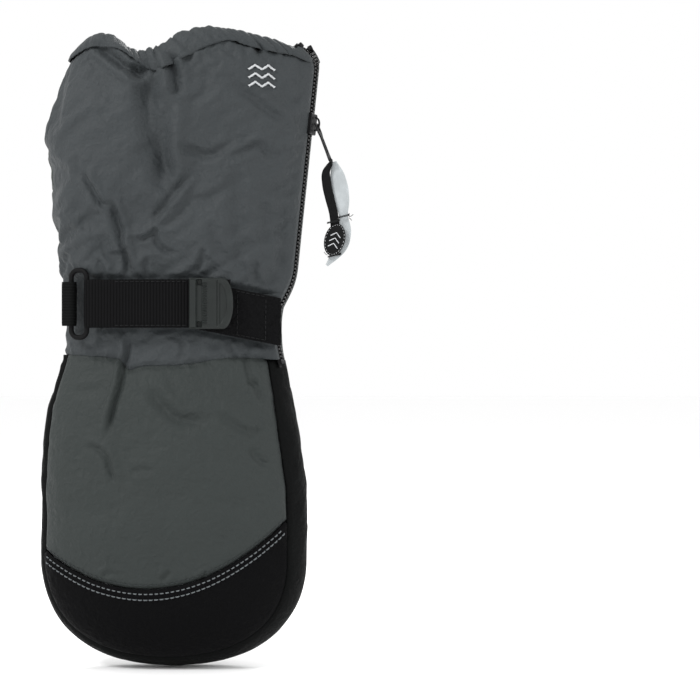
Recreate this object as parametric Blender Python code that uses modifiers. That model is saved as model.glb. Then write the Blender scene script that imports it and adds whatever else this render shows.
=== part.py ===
"""Gauntlet ski mitten for the left hand, held upright with the fingers down.

+X is the little-finger side, where the zip runs, -Y the back of the hand and +Z the arm.
The origin is the centre of the cuff's mouth. Dimensions are in millimetres until points
are made, which are in metres.
"""

import math

import bmesh
import bpy
from mathutils import Matrix, Vector

MM = 0.001

# ---- Driving dimensions ----
# The body's outline: height, left edge, right edge, depth in front and depth behind.
BODY_STATIONS = (
    (0.0, -50.0, 70.0, 26.0, 25.0),
    (-13.0, -56.0, 74.5, 28.0, 27.0),
    (-30.0, -63.0, 74.0, 29.5, 28.5),
    (-46.0, -68.5, 72.6, 30.0, 29.0),
    (-70.0, -67.0, 70.0, 30.0, 29.0),
    (-95.0, -65.5, 67.2, 28.5, 27.5),
    (-120.0, -60.5, 64.0, 24.0, 23.0),
    (-134.0, -57.5, 59.5, 21.5, 20.5),
    (-142.0, -57.0, 57.0, 21.0, 20.0),
    (-160.0, -57.5, 57.0, 20.5, 19.5),
    (-172.0, -60.5, 60.0, 22.0, 21.0),
    (-190.0, -66.5, 63.0, 26.0, 24.5),
    (-209.0, -69.0, 66.5, 28.5, 26.5),
    (-232.0, -70.6, 69.8, 29.5, 27.0),
    (-250.0, -69.6, 70.8, 29.5, 27.0),
    (-270.0, -70.4, 70.0, 28.0, 25.5),
)
TIP_START = -270.0  # below this the outline is half a superellipse
TIP_HEIGHT = 58.6
ROUNDNESS = 2.3  # the sections are superellipses of this power

WRIST_SEAM = -172.0
HEM_HEIGHT = 13.0
CUFF_JOIN = -133.0  # where the wrist panels start
SEAM_GAP = 0.4  # between neighbouring panels
FABRIC = 1.0

INSERT_INSET, INSERT_THICK = 2.0, 0.4
PADDING_INSET, PADDING_THICK = 3.0, 3.2
LINING_INSET, LINING_THICK = 7.6, 0.9
CUFF_LINING_INSET, CUFF_LINING_THICK = 3.3, 0.8

# The hem's section, as distances inward and down from the mouth's edge.
HEM_CASING = (
    (0.4, HEM_HEIGHT), (0.0, 9.0), (0.0, 2.0), (1.2, 0.0),
    (3.2, 0.0), (4.4, 2.0), (4.4, 9.0), (4.0, HEM_HEIGHT),
    (3.0, HEM_HEIGHT), (3.4, 8.0), (3.4, 2.4), (2.7, 1.0),
    (1.7, 1.0), (1.0, 2.4), (1.0, 8.0), (1.4, HEM_HEIGHT),
)
HEM_ELASTIC = ((1.6, 3.4), (1.6, 9.4), (2.8, 9.4), (2.8, 3.4))

WRIST_ELASTIC_TURN = (188.0, 340.0)  # degrees round the palm side
WRIST_ELASTIC_Z = (-141.0, -163.0)
WRIST_ELASTIC_INSET, WRIST_ELASTIC_THICK = 1.5, 0.9

# The zip runs down the cuff's little-finger side. It is straight as far as the wrist's bend.
ZIP_Y = -7.0
ZIP_HALF_GAP = 5.2  # from the zip's centre to the fabric's edge
LINING_EDGE, GUSSET_EDGE = 7.4, 5.4  # and from there to the lining's and the gusset's edges
GUSSET_INSET, PLEAT_DEPTH, GUSSET_THICK = 3.4, 6.5, 0.6
ZIP_TOP, ZIP_BEND, ZIP_BOTTOM = -14.0, -118.0, -169.0
ZIP_LEAN = 0.105  # how far the line moves towards +X for each millimetre up
ZIP_TURN = math.radians(20)  # how far it faces towards the back of the hand
SLIDER_Z, SLIDER_X = -43.0, 71.8
TOOTH_PITCH = 3.0
ROW_TIP, ROW_ROOT, ROW_OUTER = 0.6, 1.7, 2.5  # the teeth, measured from the zip's centre
ROW_HALF, TAPE_HALF = 1.0, 0.3  # half the thickness of a row and of its tape
STOP_LENGTH, BOTTOM_STOP_LENGTH, STOP_HALF = 3.0, 2.0, 1.1

SLIDER_WIDTH, SLIDER_LENGTH = 8.4, 11.0
SLIDER_CLEAR = 0.4  # between the slider and the teeth
SLIDER_WALL = 1.0
BRIDGE_WIRE = 0.55
BRIDGE_HALF, BRIDGE_RISE = 3.4, 2.2  # the arch's half length and its height above the feet
PULLER_PIVOT = 3.9  # above the chain's middle plane
PULLER_ANGLE = math.radians(28)  # how far it stands out from the slider's face
PULLER_LENGTH = 22.0  # from the crossbar to the middle of the end hole's rim
PULLER_WIDTH, PULLER_HALF = 5.0, 0.4
RIM, HOLE_RADIUS = 0.8, 1.2  # the metal left round the puller's end hole, and the hole
TAG_LOOP, TAG_LOOP_WIRE = 1.6, 0.45
TAG_TURN = math.radians(-70)  # from the puller's plane to the tag's
TAG_STRIP = (6.4, 33.0)
TAG_DISC_RADIUS, TAG_DISC_DROP = 7.6, 41.0
TAG_BACKING = (11.0, 56.0)
TAG_HALF, TAG_DISC_HALF, TAG_BACKING_HALF = 0.45, 0.9, 0.35
TAG_BACKING_SIDE, TAG_BACKING_DROP, TAG_BACKING_BEHIND = -2.5, 5.0, 1.7

# The strap round the wrist: distances are outward from the cuff's surface.
STRAP_Z, STRAP_HALF = -138.0, 12.5
STRAP_BASE = (0.4, 1.6)
LOOP_TAPE = (1.9, 2.6)
HOOK_TAPE = (2.9, 3.5)
STRAP_TOP = (3.8, 5.0)
END_TAB = (5.3, 7.9)
TAPES_START, STRAP_SEAM = -15.0, 50.0
TAB_START, TAB_END = 10.0, 31.5
BASE_SLOPE_START, BASE_SLOPE = 10.0, -0.2
RING_X = (-50.5, -42.5)  # the ring's two upright bars, on the cuff's surface
RING_BAR, RING_CLEAR, RING_HALF_HEIGHT, RING_CORNER = 1.5, 0.4, 17.5, 4.0
STRAP_FALL = 22.0  # how far the strap takes to come down from the ring to the cuff
KEEPER_HALF, KEEPER_THICK = 11.5, 1.0
KEEPER_LEGS = (4.0, 2.0)  # how far its two ends run on to the seam
WEBBING = 1.2

THUMB_STATIONS = (  # height, left edge, right edge and how far it stands off the palm
    (-168.0, -54.0, 4.0, 17.0),
    (-180.0, -60.0, 6.5, 25.0),
    (-195.0, -61.5, 7.0, 30.0),
    (-217.0, -56.5, 7.0, 31.5),
    (-231.0, -51.5, 7.0, 31.0),
    (-244.0, -46.5, 7.0, 29.5),
    (-256.0, -40.5, 7.0, 27.0),
    (-267.0, -33.0, 5.5, 23.0),
    (-276.0, -26.5, 1.0, 17.5),
    (-281.5, -22.0, -4.0, 12.5),
)
THUMB_ROUNDNESS = 2.6
THUMB_LAYERS = {  # how far in each layer starts, its thickness and its finish
    "thumb_shell": (0.0, 0.8, "shell_grey"),
    "thumb_padding": (2.2, 1.8, "padding"),
    "thumb_lining": (6.2, 0.6, "lining"),
}
THUMB_GAP = 0.8  # between the thumb and the palm
THUMB_HOLE_X, THUMB_HOLE_Z = -26.0, -192.0
THUMB_HOLE_HALF_WIDTH, THUMB_HOLE_HALF_HEIGHT = 19.0, 13.0

COLOURS = {  # linear colour, roughness, metallic
    "shell_grey": ((0.075, 0.087, 0.090), 0.62, 0.0),
    "shell_black": ((0.010, 0.010, 0.010), 0.70, 0.0),
    "palm_grip": ((0.006, 0.007, 0.007), 0.85, 0.0),
    "membrane": ((0.55, 0.58, 0.60), 0.40, 0.0),
    "padding": ((0.75, 0.75, 0.73), 0.95, 0.0),
    "lining": ((0.018, 0.018, 0.020), 0.95, 0.0),
    "webbing": ((0.010, 0.011, 0.011), 0.75, 0.0),
    "hook_and_loop": ((0.007, 0.007, 0.008), 0.95, 0.0),
    "elastic": ((0.020, 0.022, 0.022), 0.85, 0.0),
    "buckle_black": ((0.012, 0.012, 0.012), 0.45, 0.0),
    "tab_grey": ((0.048, 0.057, 0.055), 0.50, 0.0),
    "zip_tape": ((0.008, 0.008, 0.008), 0.85, 0.0),
    "zip_teeth": ((0.012, 0.012, 0.012), 0.35, 0.0),
    "zip_metal": ((0.015, 0.015, 0.016), 0.35, 0.6),
    "stop_metal": ((0.45, 0.46, 0.47), 0.35, 0.9),
    "reflective": ((0.52, 0.60, 0.58), 0.35, 0.0),
}

for leftover in list(bpy.data.objects):
    bpy.data.objects.remove(leftover)
PARTS = bpy.data.collections.new("ski_mitten")
CUTTERS = bpy.data.collections.new("cutters")
for collection in (PARTS, CUTTERS):
    bpy.context.scene.collection.children.link(collection)


# ---- Helpers ----
def material(name):
    found = bpy.data.materials.get(name)
    if found:
        return found
    colour, roughness, metallic = COLOURS[name]
    made = bpy.data.materials.new(name)
    made.use_nodes = True
    shader = made.node_tree.nodes["Principled BSDF"]
    shader.inputs["Base Color"].default_value = (*colour, 1)
    shader.inputs["Roughness"].default_value = roughness
    shader.inputs["Metallic"].default_value = metallic
    return made


def add_part(name, data, finish, parent=None):
    part = bpy.data.objects.new(name, data)
    data.materials.append(material(finish))
    part.parent = parent
    PARTS.objects.link(part)
    return part


def smooth_between(stations, z):
    """The stations' other columns at height z, by Catmull-Rom curves. Stations run downwards."""
    z = min(max(z, stations[-1][0]), stations[0][0])
    last = len(stations) - 2
    i = next((i for i in range(last + 1) if z >= stations[i + 1][0]), last)
    before, a, b, after = (stations[min(max(j, 0), last + 1)] for j in range(i - 1, i + 3))
    t = (z - a[0]) / (b[0] - a[0])
    blend = []
    for column in range(1, len(a)):
        p0, p1, p2, p3 = before[column], a[column], b[column], after[column]
        bend = 2 * p0 - 5 * p1 + 4 * p2 - p3
        twist = 3 * p1 - p0 - 3 * p2 + p3
        blend.append(0.5 * (2 * p1 + (p2 - p0) * t + bend * t**2 + twist * t**3))
    return blend


def half_sizes(z, inset=0.0):
    """The section's centre in x, its half width, and its depths in front and behind."""
    shrink = 1.0
    if z < TIP_START:
        depth = min((TIP_START - z) / (TIP_HEIGHT - inset), 1.0)
        shrink = (1 - depth**ROUNDNESS) ** (1 / ROUNDNESS)
    left, right, front, rear = smooth_between(BODY_STATIONS, z)
    middle, half = (left + right) / 2, (right - left) / 2
    thin = shrink**0.85
    return middle, (half - inset) * shrink, (front - inset) * thin, (rear - inset) * thin


def round_power(value):
    return math.copysign(abs(value) ** (2 / ROUNDNESS), value)


def body_point(z, angle, inset=0.0):
    """A point on the body. The angle is 0 at +X, and a quarter turn at the back of the hand."""
    middle, half, front, rear = half_sizes(z, inset)
    across = round_power(math.cos(angle))
    out = round_power(math.sin(angle))
    return Vector((middle + half * across, -out * (front if out > 0 else rear), z)) * MM


def angle_at_y(z, y):
    """The angle near +X where the body's surface has this y."""
    _, _, front, rear = half_sizes(z)
    depth = front if y < 0 else rear
    return math.copysign(math.asin(min(abs(y) / depth, 1) ** (ROUNDNESS / 2)), -y)


def palm_y(x, z):
    """How far behind the middle plane the palm is there."""
    middle, half, _, rear = half_sizes(z)
    share = min(abs(x - middle) / half, 0.995)
    return rear * (1 - share**ROUNDNESS) ** (1 / ROUNDNESS)


def loft(name, rings, finish, pole=None, caps=False, parent=None):
    """A surface through rings of equal length, closed round each ring. A pole closes one end."""
    form = bmesh.new()
    rows = [[form.verts.new(point) for point in ring] for ring in rings]
    count = len(rings[0])
    for upper, lower in zip(rows, rows[1:]):
        for i in range(count):
            j = (i + 1) % count
            form.faces.new((upper[i], upper[j], lower[j], lower[i]))
    if pole is not None:
        tip = form.verts.new(pole)
        for i in range(count):
            form.faces.new((rows[-1][i], rows[-1][(i + 1) % count], tip))
    if caps:
        form.faces.new(rows[0])
        form.faces.new(rows[-1])
    return from_bmesh(name, form, finish, parent)


def from_bmesh(name, form, finish, parent=None):
    bmesh.ops.recalc_face_normals(form, faces=form.faces)
    mesh = bpy.data.meshes.new(name)
    form.to_mesh(mesh)
    form.free()
    return add_part(name, mesh, finish, parent)


def thicken(part, thickness, inwards=True):
    """Gives an open surface a wall. Its normals are turned to face outwards first."""
    wall = part.modifiers.new("wall", "SOLIDIFY")
    wall.thickness = thickness * MM
    wall.offset = -1 if inwards else 1
    wall.use_even_offset = True
    return part


def boolean(part, cutter, operation="DIFFERENCE"):
    step = part.modifiers.new(operation.lower(), "BOOLEAN")
    step.operation = operation
    step.object = cutter
    step.solver = "EXACT"


def as_cutter(part):
    PARTS.objects.unlink(part)
    CUTTERS.objects.link(part)
    part.hide_render = True
    part.display_type = "WIRE"
    return part


def prism_along_y(name, outline, y_from, y_to):
    """A cutter with an outline of x and z, from one y to another."""
    form = bmesh.new()
    face = form.faces.new([form.verts.new((x * MM, y_from * MM, z * MM)) for x, z in outline])
    moved = bmesh.ops.extrude_face_region(form, geom=[face])
    far_side = [item for item in moved["geom"] if isinstance(item, bmesh.types.BMVert)]
    bmesh.ops.translate(form, vec=Vector((0, (y_to - y_from) * MM, 0)), verts=far_side)
    return as_cutter(from_bmesh(name, form, "shell_black"))


def plate(name, outlines, half_thick, finish, parent=None, bevel=0.0):
    """A flat piece in its own xy plane. The first outline is its edge and the others are holes."""
    data = bpy.data.curves.new(name, "CURVE")
    data.dimensions = "2D"
    data.fill_mode = "BOTH"
    data.extrude = (half_thick - bevel) * MM
    data.bevel_depth = bevel * MM
    data.bevel_resolution = 0
    data.offset = -bevel * MM
    for outline in outlines:
        spline = data.splines.new("POLY")
        spline.points.add(len(outline) - 1)
        for point, (x, y) in zip(spline.points, outline):
            point.co = (x * MM, y * MM, 0, 1)
        spline.use_cyclic_u = True
    return add_part(name, data, finish, parent)


def wire(name, points, radius, finish, parent=None, cyclic=False):
    data = bpy.data.curves.new(name, "CURVE")
    data.dimensions = "3D"
    data.bevel_depth = radius * MM
    data.bevel_resolution = 1
    data.use_fill_caps = not cyclic
    spline = data.splines.new("POLY")
    spline.points.add(len(points) - 1)
    for point, place in zip(spline.points, points):
        point.co = (*(Vector(place) * MM), 1)
    spline.use_cyclic_u = cyclic
    return add_part(name, data, finish, parent)


def arc(centre, radius, start, end, steps):
    """Points round an arc, in degrees. The radius may be a pair for an ellipse."""
    wide, high = radius if isinstance(radius, tuple) else (radius, radius)
    turns = [math.radians(start + (end - start) * i / steps) for i in range(steps + 1)]
    return [(centre[0] + wide * math.cos(t), centre[1] + high * math.sin(t)) for t in turns]


def box_outline(left, bottom, right, top):
    return [(left, bottom), (right, bottom), (right, top), (left, top)]


# ---- Body shells ----
RING_STEPS = 32  # round the shell, and fewer round the layers inside
INNER_STEPS = 22
HAND_LEVELS, TIP_LEVELS = 7, 6
INNER_LEVELS, INNER_TIP_LEVELS = 5, 5


def hand_bag(name, inset, thickness, finish, inner=False):
    """A hollow bag from the wrist seam to the fingertips."""
    steps = INNER_STEPS if inner else RING_STEPS
    levels, tip_levels = (INNER_LEVELS, INNER_TIP_LEVELS) if inner else (HAND_LEVELS, TIP_LEVELS)
    top, reach = WRIST_SEAM - SEAM_GAP / 2, TIP_HEIGHT - inset
    heights = [top + (TIP_START - top) * i / levels for i in range(levels)]
    turns = [math.radians(90 * i / tip_levels) for i in range(tip_levels)]
    heights += [TIP_START - reach * math.sin(turn) for turn in turns]
    angles = [2 * math.pi * i / steps for i in range(steps)]
    rings = [[body_point(z, a, inset) for a in angles] for z in heights]
    pole = Vector((half_sizes(TIP_START)[0], 0, TIP_START - reach)) * MM
    return thicken(loft(name, rings, finish, pole), thickness)


def cuff_panel(name, angle_from, angle_to, z_from, z_to, inset, thickness, finish, steps):
    """A panel between two heights whose side edges are functions of the height."""
    across, down = steps
    form = bmesh.new()
    bmesh.ops.create_grid(form, x_segments=across, y_segments=down, size=1)
    for vert in form.verts:
        share_x, share_z = (vert.co.x + 1) / 2, (vert.co.y + 1) / 2
        z = z_from + (z_to - z_from) * share_z
        start, end = angle_from(z), angle_to(z)
        depth = inset(share_x) if callable(inset) else inset
        vert.co = body_point(z, start + (end - start) * share_x, depth)
    panel = from_bmesh(name, form, finish)
    middle = panel.data.polygons[len(panel.data.polygons) // 2]
    outward = Vector((middle.center.x, middle.center.y, 0))
    if middle.normal.dot(outward) < 0:
        panel.data.flip_normals()
    return thicken(panel, thickness)


def zip_front_edge(z):
    return angle_at_y(z, ZIP_Y - ZIP_HALF_GAP * math.cos(ZIP_TURN))


def zip_rear_edge(z):
    return 2 * math.pi + angle_at_y(z, ZIP_Y + ZIP_HALF_GAP * math.cos(ZIP_TURN))


def at(degrees):
    """The same angle at every height."""
    return lambda z: math.radians(degrees)


SEAM_TURN = 0.35  # degrees, which leaves about 0.8 mm between cuff panels


def build_cuff():
    below_hem = -HEM_HEIGHT - SEAM_GAP
    thumb_side, middle = (at(180 + SEAM_TURN), at(270 - SEAM_TURN)), (at(270 + SEAM_TURN), zip_rear_edge)
    back = (zip_front_edge, at(180 - SEAM_TURN))
    palm = (at(180 + SEAM_TURN), zip_rear_edge)
    upper = (below_hem, CUFF_JOIN)
    lower = (CUFF_JOIN - SEAM_GAP, WRIST_SEAM + SEAM_GAP / 2)
    cuff_panel("cuff_back_panel", *back, *upper, 0.0, FABRIC, "shell_grey", (12, 9))
    cuff_panel("wrist_back_panel", *back, *lower, 0.0, FABRIC, "shell_grey", (12, 5))
    cuff_panel("cuff_palm_panel_thumb_side", *thumb_side, *upper, 0.0, FABRIC, "shell_grey", (7, 9))
    cuff_panel("cuff_palm_panel_zip_side", *middle, *upper, 0.0, FABRIC, "shell_grey", (7, 9))
    cuff_panel("wrist_palm_panel", *palm, *lower, 0.0, FABRIC, "shell_grey", (14, 5))
    cuff_panel("wrist_elastic", *map(at, WRIST_ELASTIC_TURN), *WRIST_ELASTIC_Z, WRIST_ELASTIC_INSET,
               WRIST_ELASTIC_THICK, "elastic", (14, 3))

    def lining_front(z):
        return angle_at_y(z, ZIP_Y - LINING_EDGE)

    def lining_rear(z):
        return 2 * math.pi + angle_at_y(z, ZIP_Y + LINING_EDGE)

    cuff_panel("cuff_lining", lining_front, lining_rear, below_hem, WRIST_SEAM + SEAM_GAP / 2,
               CUFF_LINING_INSET, CUFF_LINING_THICK, "lining", (18, 9))

    def gusset_front(z):
        return angle_at_y(z, ZIP_Y - GUSSET_EDGE)

    def gusset_rear(z):
        return angle_at_y(z, ZIP_Y + GUSSET_EDGE)

    def pleat(share):
        return GUSSET_INSET + PLEAT_DEPTH * math.sin(math.pi * share)

    cuff_panel("zip_gusset", gusset_rear, gusset_front, below_hem, WRIST_SEAM + 2, pleat,
               GUSSET_THICK, "shell_black", (8, 8))


def hem_section(angle, profile):
    """The hem's profile, given as distances inward and down, at an angle round the mouth."""
    return [body_point(-down, angle, inward) for inward, down in profile]


def sweep_hem(name, profile, finish, start, end, steps):
    angles = [start + (end - start) * i / steps for i in range(steps + 1)]
    return loft(name, [hem_section(a, profile) for a in angles], finish, caps=True)


def build_hem():
    """A folded casing, open where it is sewn below, with the elastic inside."""
    start, end = zip_front_edge(-6.0), zip_rear_edge(-6.0)
    sweep_hem("hem_casing", HEM_CASING, "shell_grey", start, end, 20)
    sweep_hem("hem_elastic", HEM_ELASTIC, "elastic", start + 0.02, end - 0.02, 20)


def inset_outline(left, right, tip, top):
    """The hand's outline in x and z, drawn in from its edges, and cut off at a height."""
    heights = [top + (TIP_START - top) * i / 8 for i in range(9)]
    middle, half, _, _ = half_sizes(TIP_START)
    right_side, left_side = [], []
    for z in heights:
        centre, wide, _, _ = half_sizes(z)
        right_side.append((centre + wide - right, z))
        left_side.append((centre - wide + left, z))
    bend = (middle + (left - right) / 2, TIP_START)
    bottom = arc(bend, (half - (left + right) / 2, TIP_HEIGHT - tip), 0, -180, 18)
    return right_side[:-1] + bottom + left_side[-2::-1]


def cap_line(x):
    """The height of the seam between the back panel and the fingertip cap."""
    return -285.8 + 0.0065 * (x + 13) ** 2


def yoke_line(x):
    """The height of the seam between the palm yoke and the palm patch."""
    return -177.0 - 12.0 * max(0.0, (x - 7) / 55) ** 2


BACK_INSETS = {"left": 2.6, "right": 9.5, "tip": 6.0}
PALM_INSETS = {"left": 11.0, "right": 5.0, "tip": 14.0}
FAR, FAR_ACROSS, FAR_DOWN = 60.0, 76.0, -345.0  # beyond the body on any side


def seam_points(line, reach, steps=16):
    return [(-reach + 2 * reach * i / steps, line(-reach + 2 * reach * i / steps))
            for i in range(steps + 1)]


def moved(points, dz):
    return [(x, z + dz) for x, z in points]


def build_hand_shell():
    """One outer bag, cut into its sewn panels."""
    top = WRIST_SEAM + 10
    back_zone = prism_along_y("back_zone", inset_outline(**BACK_INSETS, top=top), -FAR, 0.2)
    palm_zone = prism_along_y("palm_zone", inset_outline(**PALM_INSETS, top=top), -0.2, FAR)
    wider = {side: inset - SEAM_GAP for side, inset in BACK_INSETS.items()}
    back_opening = prism_along_y("back_opening", inset_outline(**wider, top=top), -FAR, 0.0)
    wider = {side: inset - SEAM_GAP for side, inset in PALM_INSETS.items()}
    palm_opening = prism_along_y("palm_opening", inset_outline(**wider, top=top), 0.0, FAR)

    upper_corners = [(FAR_ACROSS, top), (-FAR_ACROSS, top)]
    lower_corners = [(FAR_ACROSS, FAR_DOWN), (-FAR_ACROSS, FAR_DOWN)]
    cap_seam = seam_points(cap_line, FAR_ACROSS)
    above_cap = prism_along_y("above_cap", cap_seam + upper_corners, -FAR, FAR)
    below_cap = prism_along_y("below_cap", moved(cap_seam, -SEAM_GAP) + lower_corners, -FAR, FAR)
    yoke_seam = seam_points(yoke_line, FAR_ACROSS)
    above_yoke = prism_along_y("above_yoke", yoke_seam + upper_corners, -FAR, FAR)
    below_yoke = prism_along_y("below_yoke", moved(yoke_seam, -SEAM_GAP) + lower_corners, -FAR, FAR)
    hole = thumb_hole("thumb_hole_cutter")

    recipes = {
        "back_panel": ("shell_grey", [back_zone, above_cap], []),
        "fingertip_cap": ("shell_black", [back_zone, below_cap], []),
        "palm_patch": ("palm_grip", [palm_zone, below_yoke], [hole]),
        "palm_yoke": ("shell_grey", [palm_zone, above_yoke], [hole]),
        "side_gusset": ("shell_black", [], [back_opening, palm_opening]),
    }
    for name, (finish, keeps, removes) in recipes.items():
        panel = hand_bag(name, 0.0, FABRIC, finish)
        for cutter in keeps:
            boolean(panel, cutter, "INTERSECT")
        for cutter in removes:
            boolean(panel, cutter)


def thumb_hole(name):
    half = (THUMB_HOLE_HALF_WIDTH, THUMB_HOLE_HALF_HEIGHT)
    oval = arc((THUMB_HOLE_X, THUMB_HOLE_Z), half, 0, 360, 20)[:-1]
    return prism_along_y(name, oval, 6.0, 34.0)


def build_hand_layers():
    """What is inside the shell: a waterproof bag, two pads and a lining bag."""
    hole = bpy.data.objects["thumb_hole_cutter"]
    boolean(hand_bag("waterproof_insert", INSERT_INSET, INSERT_THICK, "membrane", inner=True), hole)
    halves = {"padding_back": (-FAR, -SEAM_GAP / 2), "padding_palm": (SEAM_GAP / 2, FAR)}
    for name, y_range in halves.items():
        zone = box_outline(-FAR_ACROSS, FAR_DOWN, FAR_ACROSS, WRIST_SEAM + 12)
        pad = hand_bag(name, PADDING_INSET, PADDING_THICK, "padding", inner=True)
        boolean(pad, prism_along_y(name + "_zone", zone, *y_range), "INTERSECT")
        if name == "padding_palm":
            boolean(pad, hole)
    boolean(hand_bag("hand_lining", LINING_INSET, LINING_THICK, "lining", inner=True), hole)


# ---- Thumb ----
THUMB_STEPS, THUMB_LEVELS = 16, 8


def thumb_ring(z, inset):
    """A superelliptic section that lies on the palm."""
    left, right, depth = smooth_between(THUMB_STATIONS, z)
    left, right, depth = left + inset, right - inset, depth - 2 * inset
    ring = []
    for i in range(THUMB_STEPS):
        turn = 2 * math.pi * i / THUMB_STEPS
        across = math.copysign(abs(math.cos(turn)) ** (2 / THUMB_ROUNDNESS), math.cos(turn))
        off_palm = math.copysign(abs(math.sin(turn)) ** (2 / THUMB_ROUNDNESS), math.sin(turn))
        x = (left + right) / 2 + (right - left) / 2 * across
        ring.append(Vector((x, palm_y(x, z) + THUMB_GAP + inset + depth * (1 + off_palm) / 2, z)) * MM)
    return ring


def thumb_bag(name, inset, thickness, finish):
    top, bottom = THUMB_STATIONS[0][0] - inset, THUMB_STATIONS[-1][0] + inset
    heights = [top + (bottom - top) * i / THUMB_LEVELS for i in range(THUMB_LEVELS + 1)]
    bag = loft(name, [thumb_ring(z, inset) for z in heights], finish, caps=True)
    boolean(thicken(bag, thickness), bpy.data.objects["thumb_hole_cutter"])


def build_thumb():
    """Shell, padding and lining bags with an opening at the base, where the hand comes in."""
    for name, (inset, thickness, finish) in THUMB_LAYERS.items():
        thumb_bag(name, inset, thickness, finish)


# ---- Zip ----
def zip_place(z):
    """The middle of the chain at a height: straight above the bend, and then along the wrist."""
    straight = SLIDER_X + ZIP_LEAN * (z - SLIDER_Z)
    on_body = body_point(z, angle_at_y(z, ZIP_Y)).x / MM
    share = min(max((ZIP_BEND - z) / 24, 0.0), 1.0)
    share = share * share * (3 - 2 * share)
    return Vector((straight + (on_body - straight) * share, ZIP_Y, z))


def zip_frame(z):
    """The chain's place and its three directions: across towards the palm, along and out."""
    along = (zip_place(z + 0.5) - zip_place(z - 0.5)).normalized()
    out = Vector((math.cos(ZIP_TURN), -math.sin(ZIP_TURN), 0))
    out = (out - along * out.dot(along)).normalized()
    return zip_place(z), along.cross(out), along, out


def zip_ring(z, section):
    place, across, _, out = zip_frame(z)
    return [(place + across * u + out * w) * MM for u, w in section]


def build_zip():
    heights = [ZIP_TOP - TOOTH_PITCH / 2 * i for i in range(int((ZIP_TOP - ZIP_BOTTOM) / TOOTH_PITCH * 2))]
    for side, label in ((-1, "front"), (1, "rear")):
        rings = []
        for i, z in enumerate(heights):
            inner = ROW_TIP if (i % 2 == 0) == (side > 0) else ROW_ROOT
            section = box_outline(inner, -ROW_HALF, ROW_OUTER, ROW_HALF)
            rings.append(zip_ring(z, [(side * u, w) for u, w in section]))
        loft("zip_teeth_" + label, rings, "zip_teeth", caps=True)

        near, far = ROW_OUTER + 0.3, ZIP_HALF_GAP - 0.4
        section = box_outline(near, -TAPE_HALF, far, TAPE_HALF)
        rings = [zip_ring(z, [(side * u, w) for u, w in section]) for z in heights[::4]]
        loft("zip_tape_" + label, rings, "zip_tape", caps=True)

        near, far = ROW_TIP, ROW_OUTER
        section = box_outline(near, -STOP_HALF, far, STOP_HALF)
        top = ZIP_TOP + 0.4
        rings = [zip_ring(z, [(side * u, w) for u, w in section]) for z in (top, top + STOP_LENGTH)]
        loft("zip_top_stop_" + label, rings, "stop_metal", caps=True)
    section = box_outline(-ROW_OUTER, -STOP_HALF, ROW_OUTER, STOP_HALF)
    top = heights[-1] - 0.4
    rings = [zip_ring(z, section) for z in (top, top - BOTTOM_STOP_LENGTH)]
    loft("zip_bottom_stop", rings, "stop_metal", caps=True)


def empty(name, matrix, parent=None):
    holder = bpy.data.objects.new(name, None)
    holder.empty_display_size = 0.005
    holder.parent = parent
    holder.matrix_local = matrix
    PARTS.objects.link(holder)
    return holder


def box(name, low, high, finish, parent=None):
    form = bmesh.new()
    bmesh.ops.create_cube(form, size=1)
    low, high = Vector(low) * MM, Vector(high) * MM
    size = high - low
    for vert in form.verts:
        vert.co = Vector((low.x + (vert.co.x + 0.5) * size.x, low.y + (vert.co.y + 0.5) * size.y,
                          low.z + (vert.co.z + 0.5) * size.z))
    return from_bmesh(name, form, finish, parent)


def as_mesh(part):
    """The same piece as a closed mesh, which a boolean can cut or join."""
    data = bpy.data.meshes.new_from_object(part.evaluated_get(bpy.context.evaluated_depsgraph_get()))
    form = bmesh.new()
    form.from_mesh(data)
    bmesh.ops.remove_doubles(form, verts=form.verts, dist=1e-6)
    bmesh.ops.recalc_face_normals(form, faces=form.faces)
    form.to_mesh(data)
    form.free()
    name, parent, local = part.name, part.parent, part.matrix_local.copy()
    bpy.data.objects.remove(part)
    mesh_part = bpy.data.objects.new(name, data)
    mesh_part.parent = parent
    mesh_part.matrix_local = local
    PARTS.objects.link(mesh_part)
    return mesh_part


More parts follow.
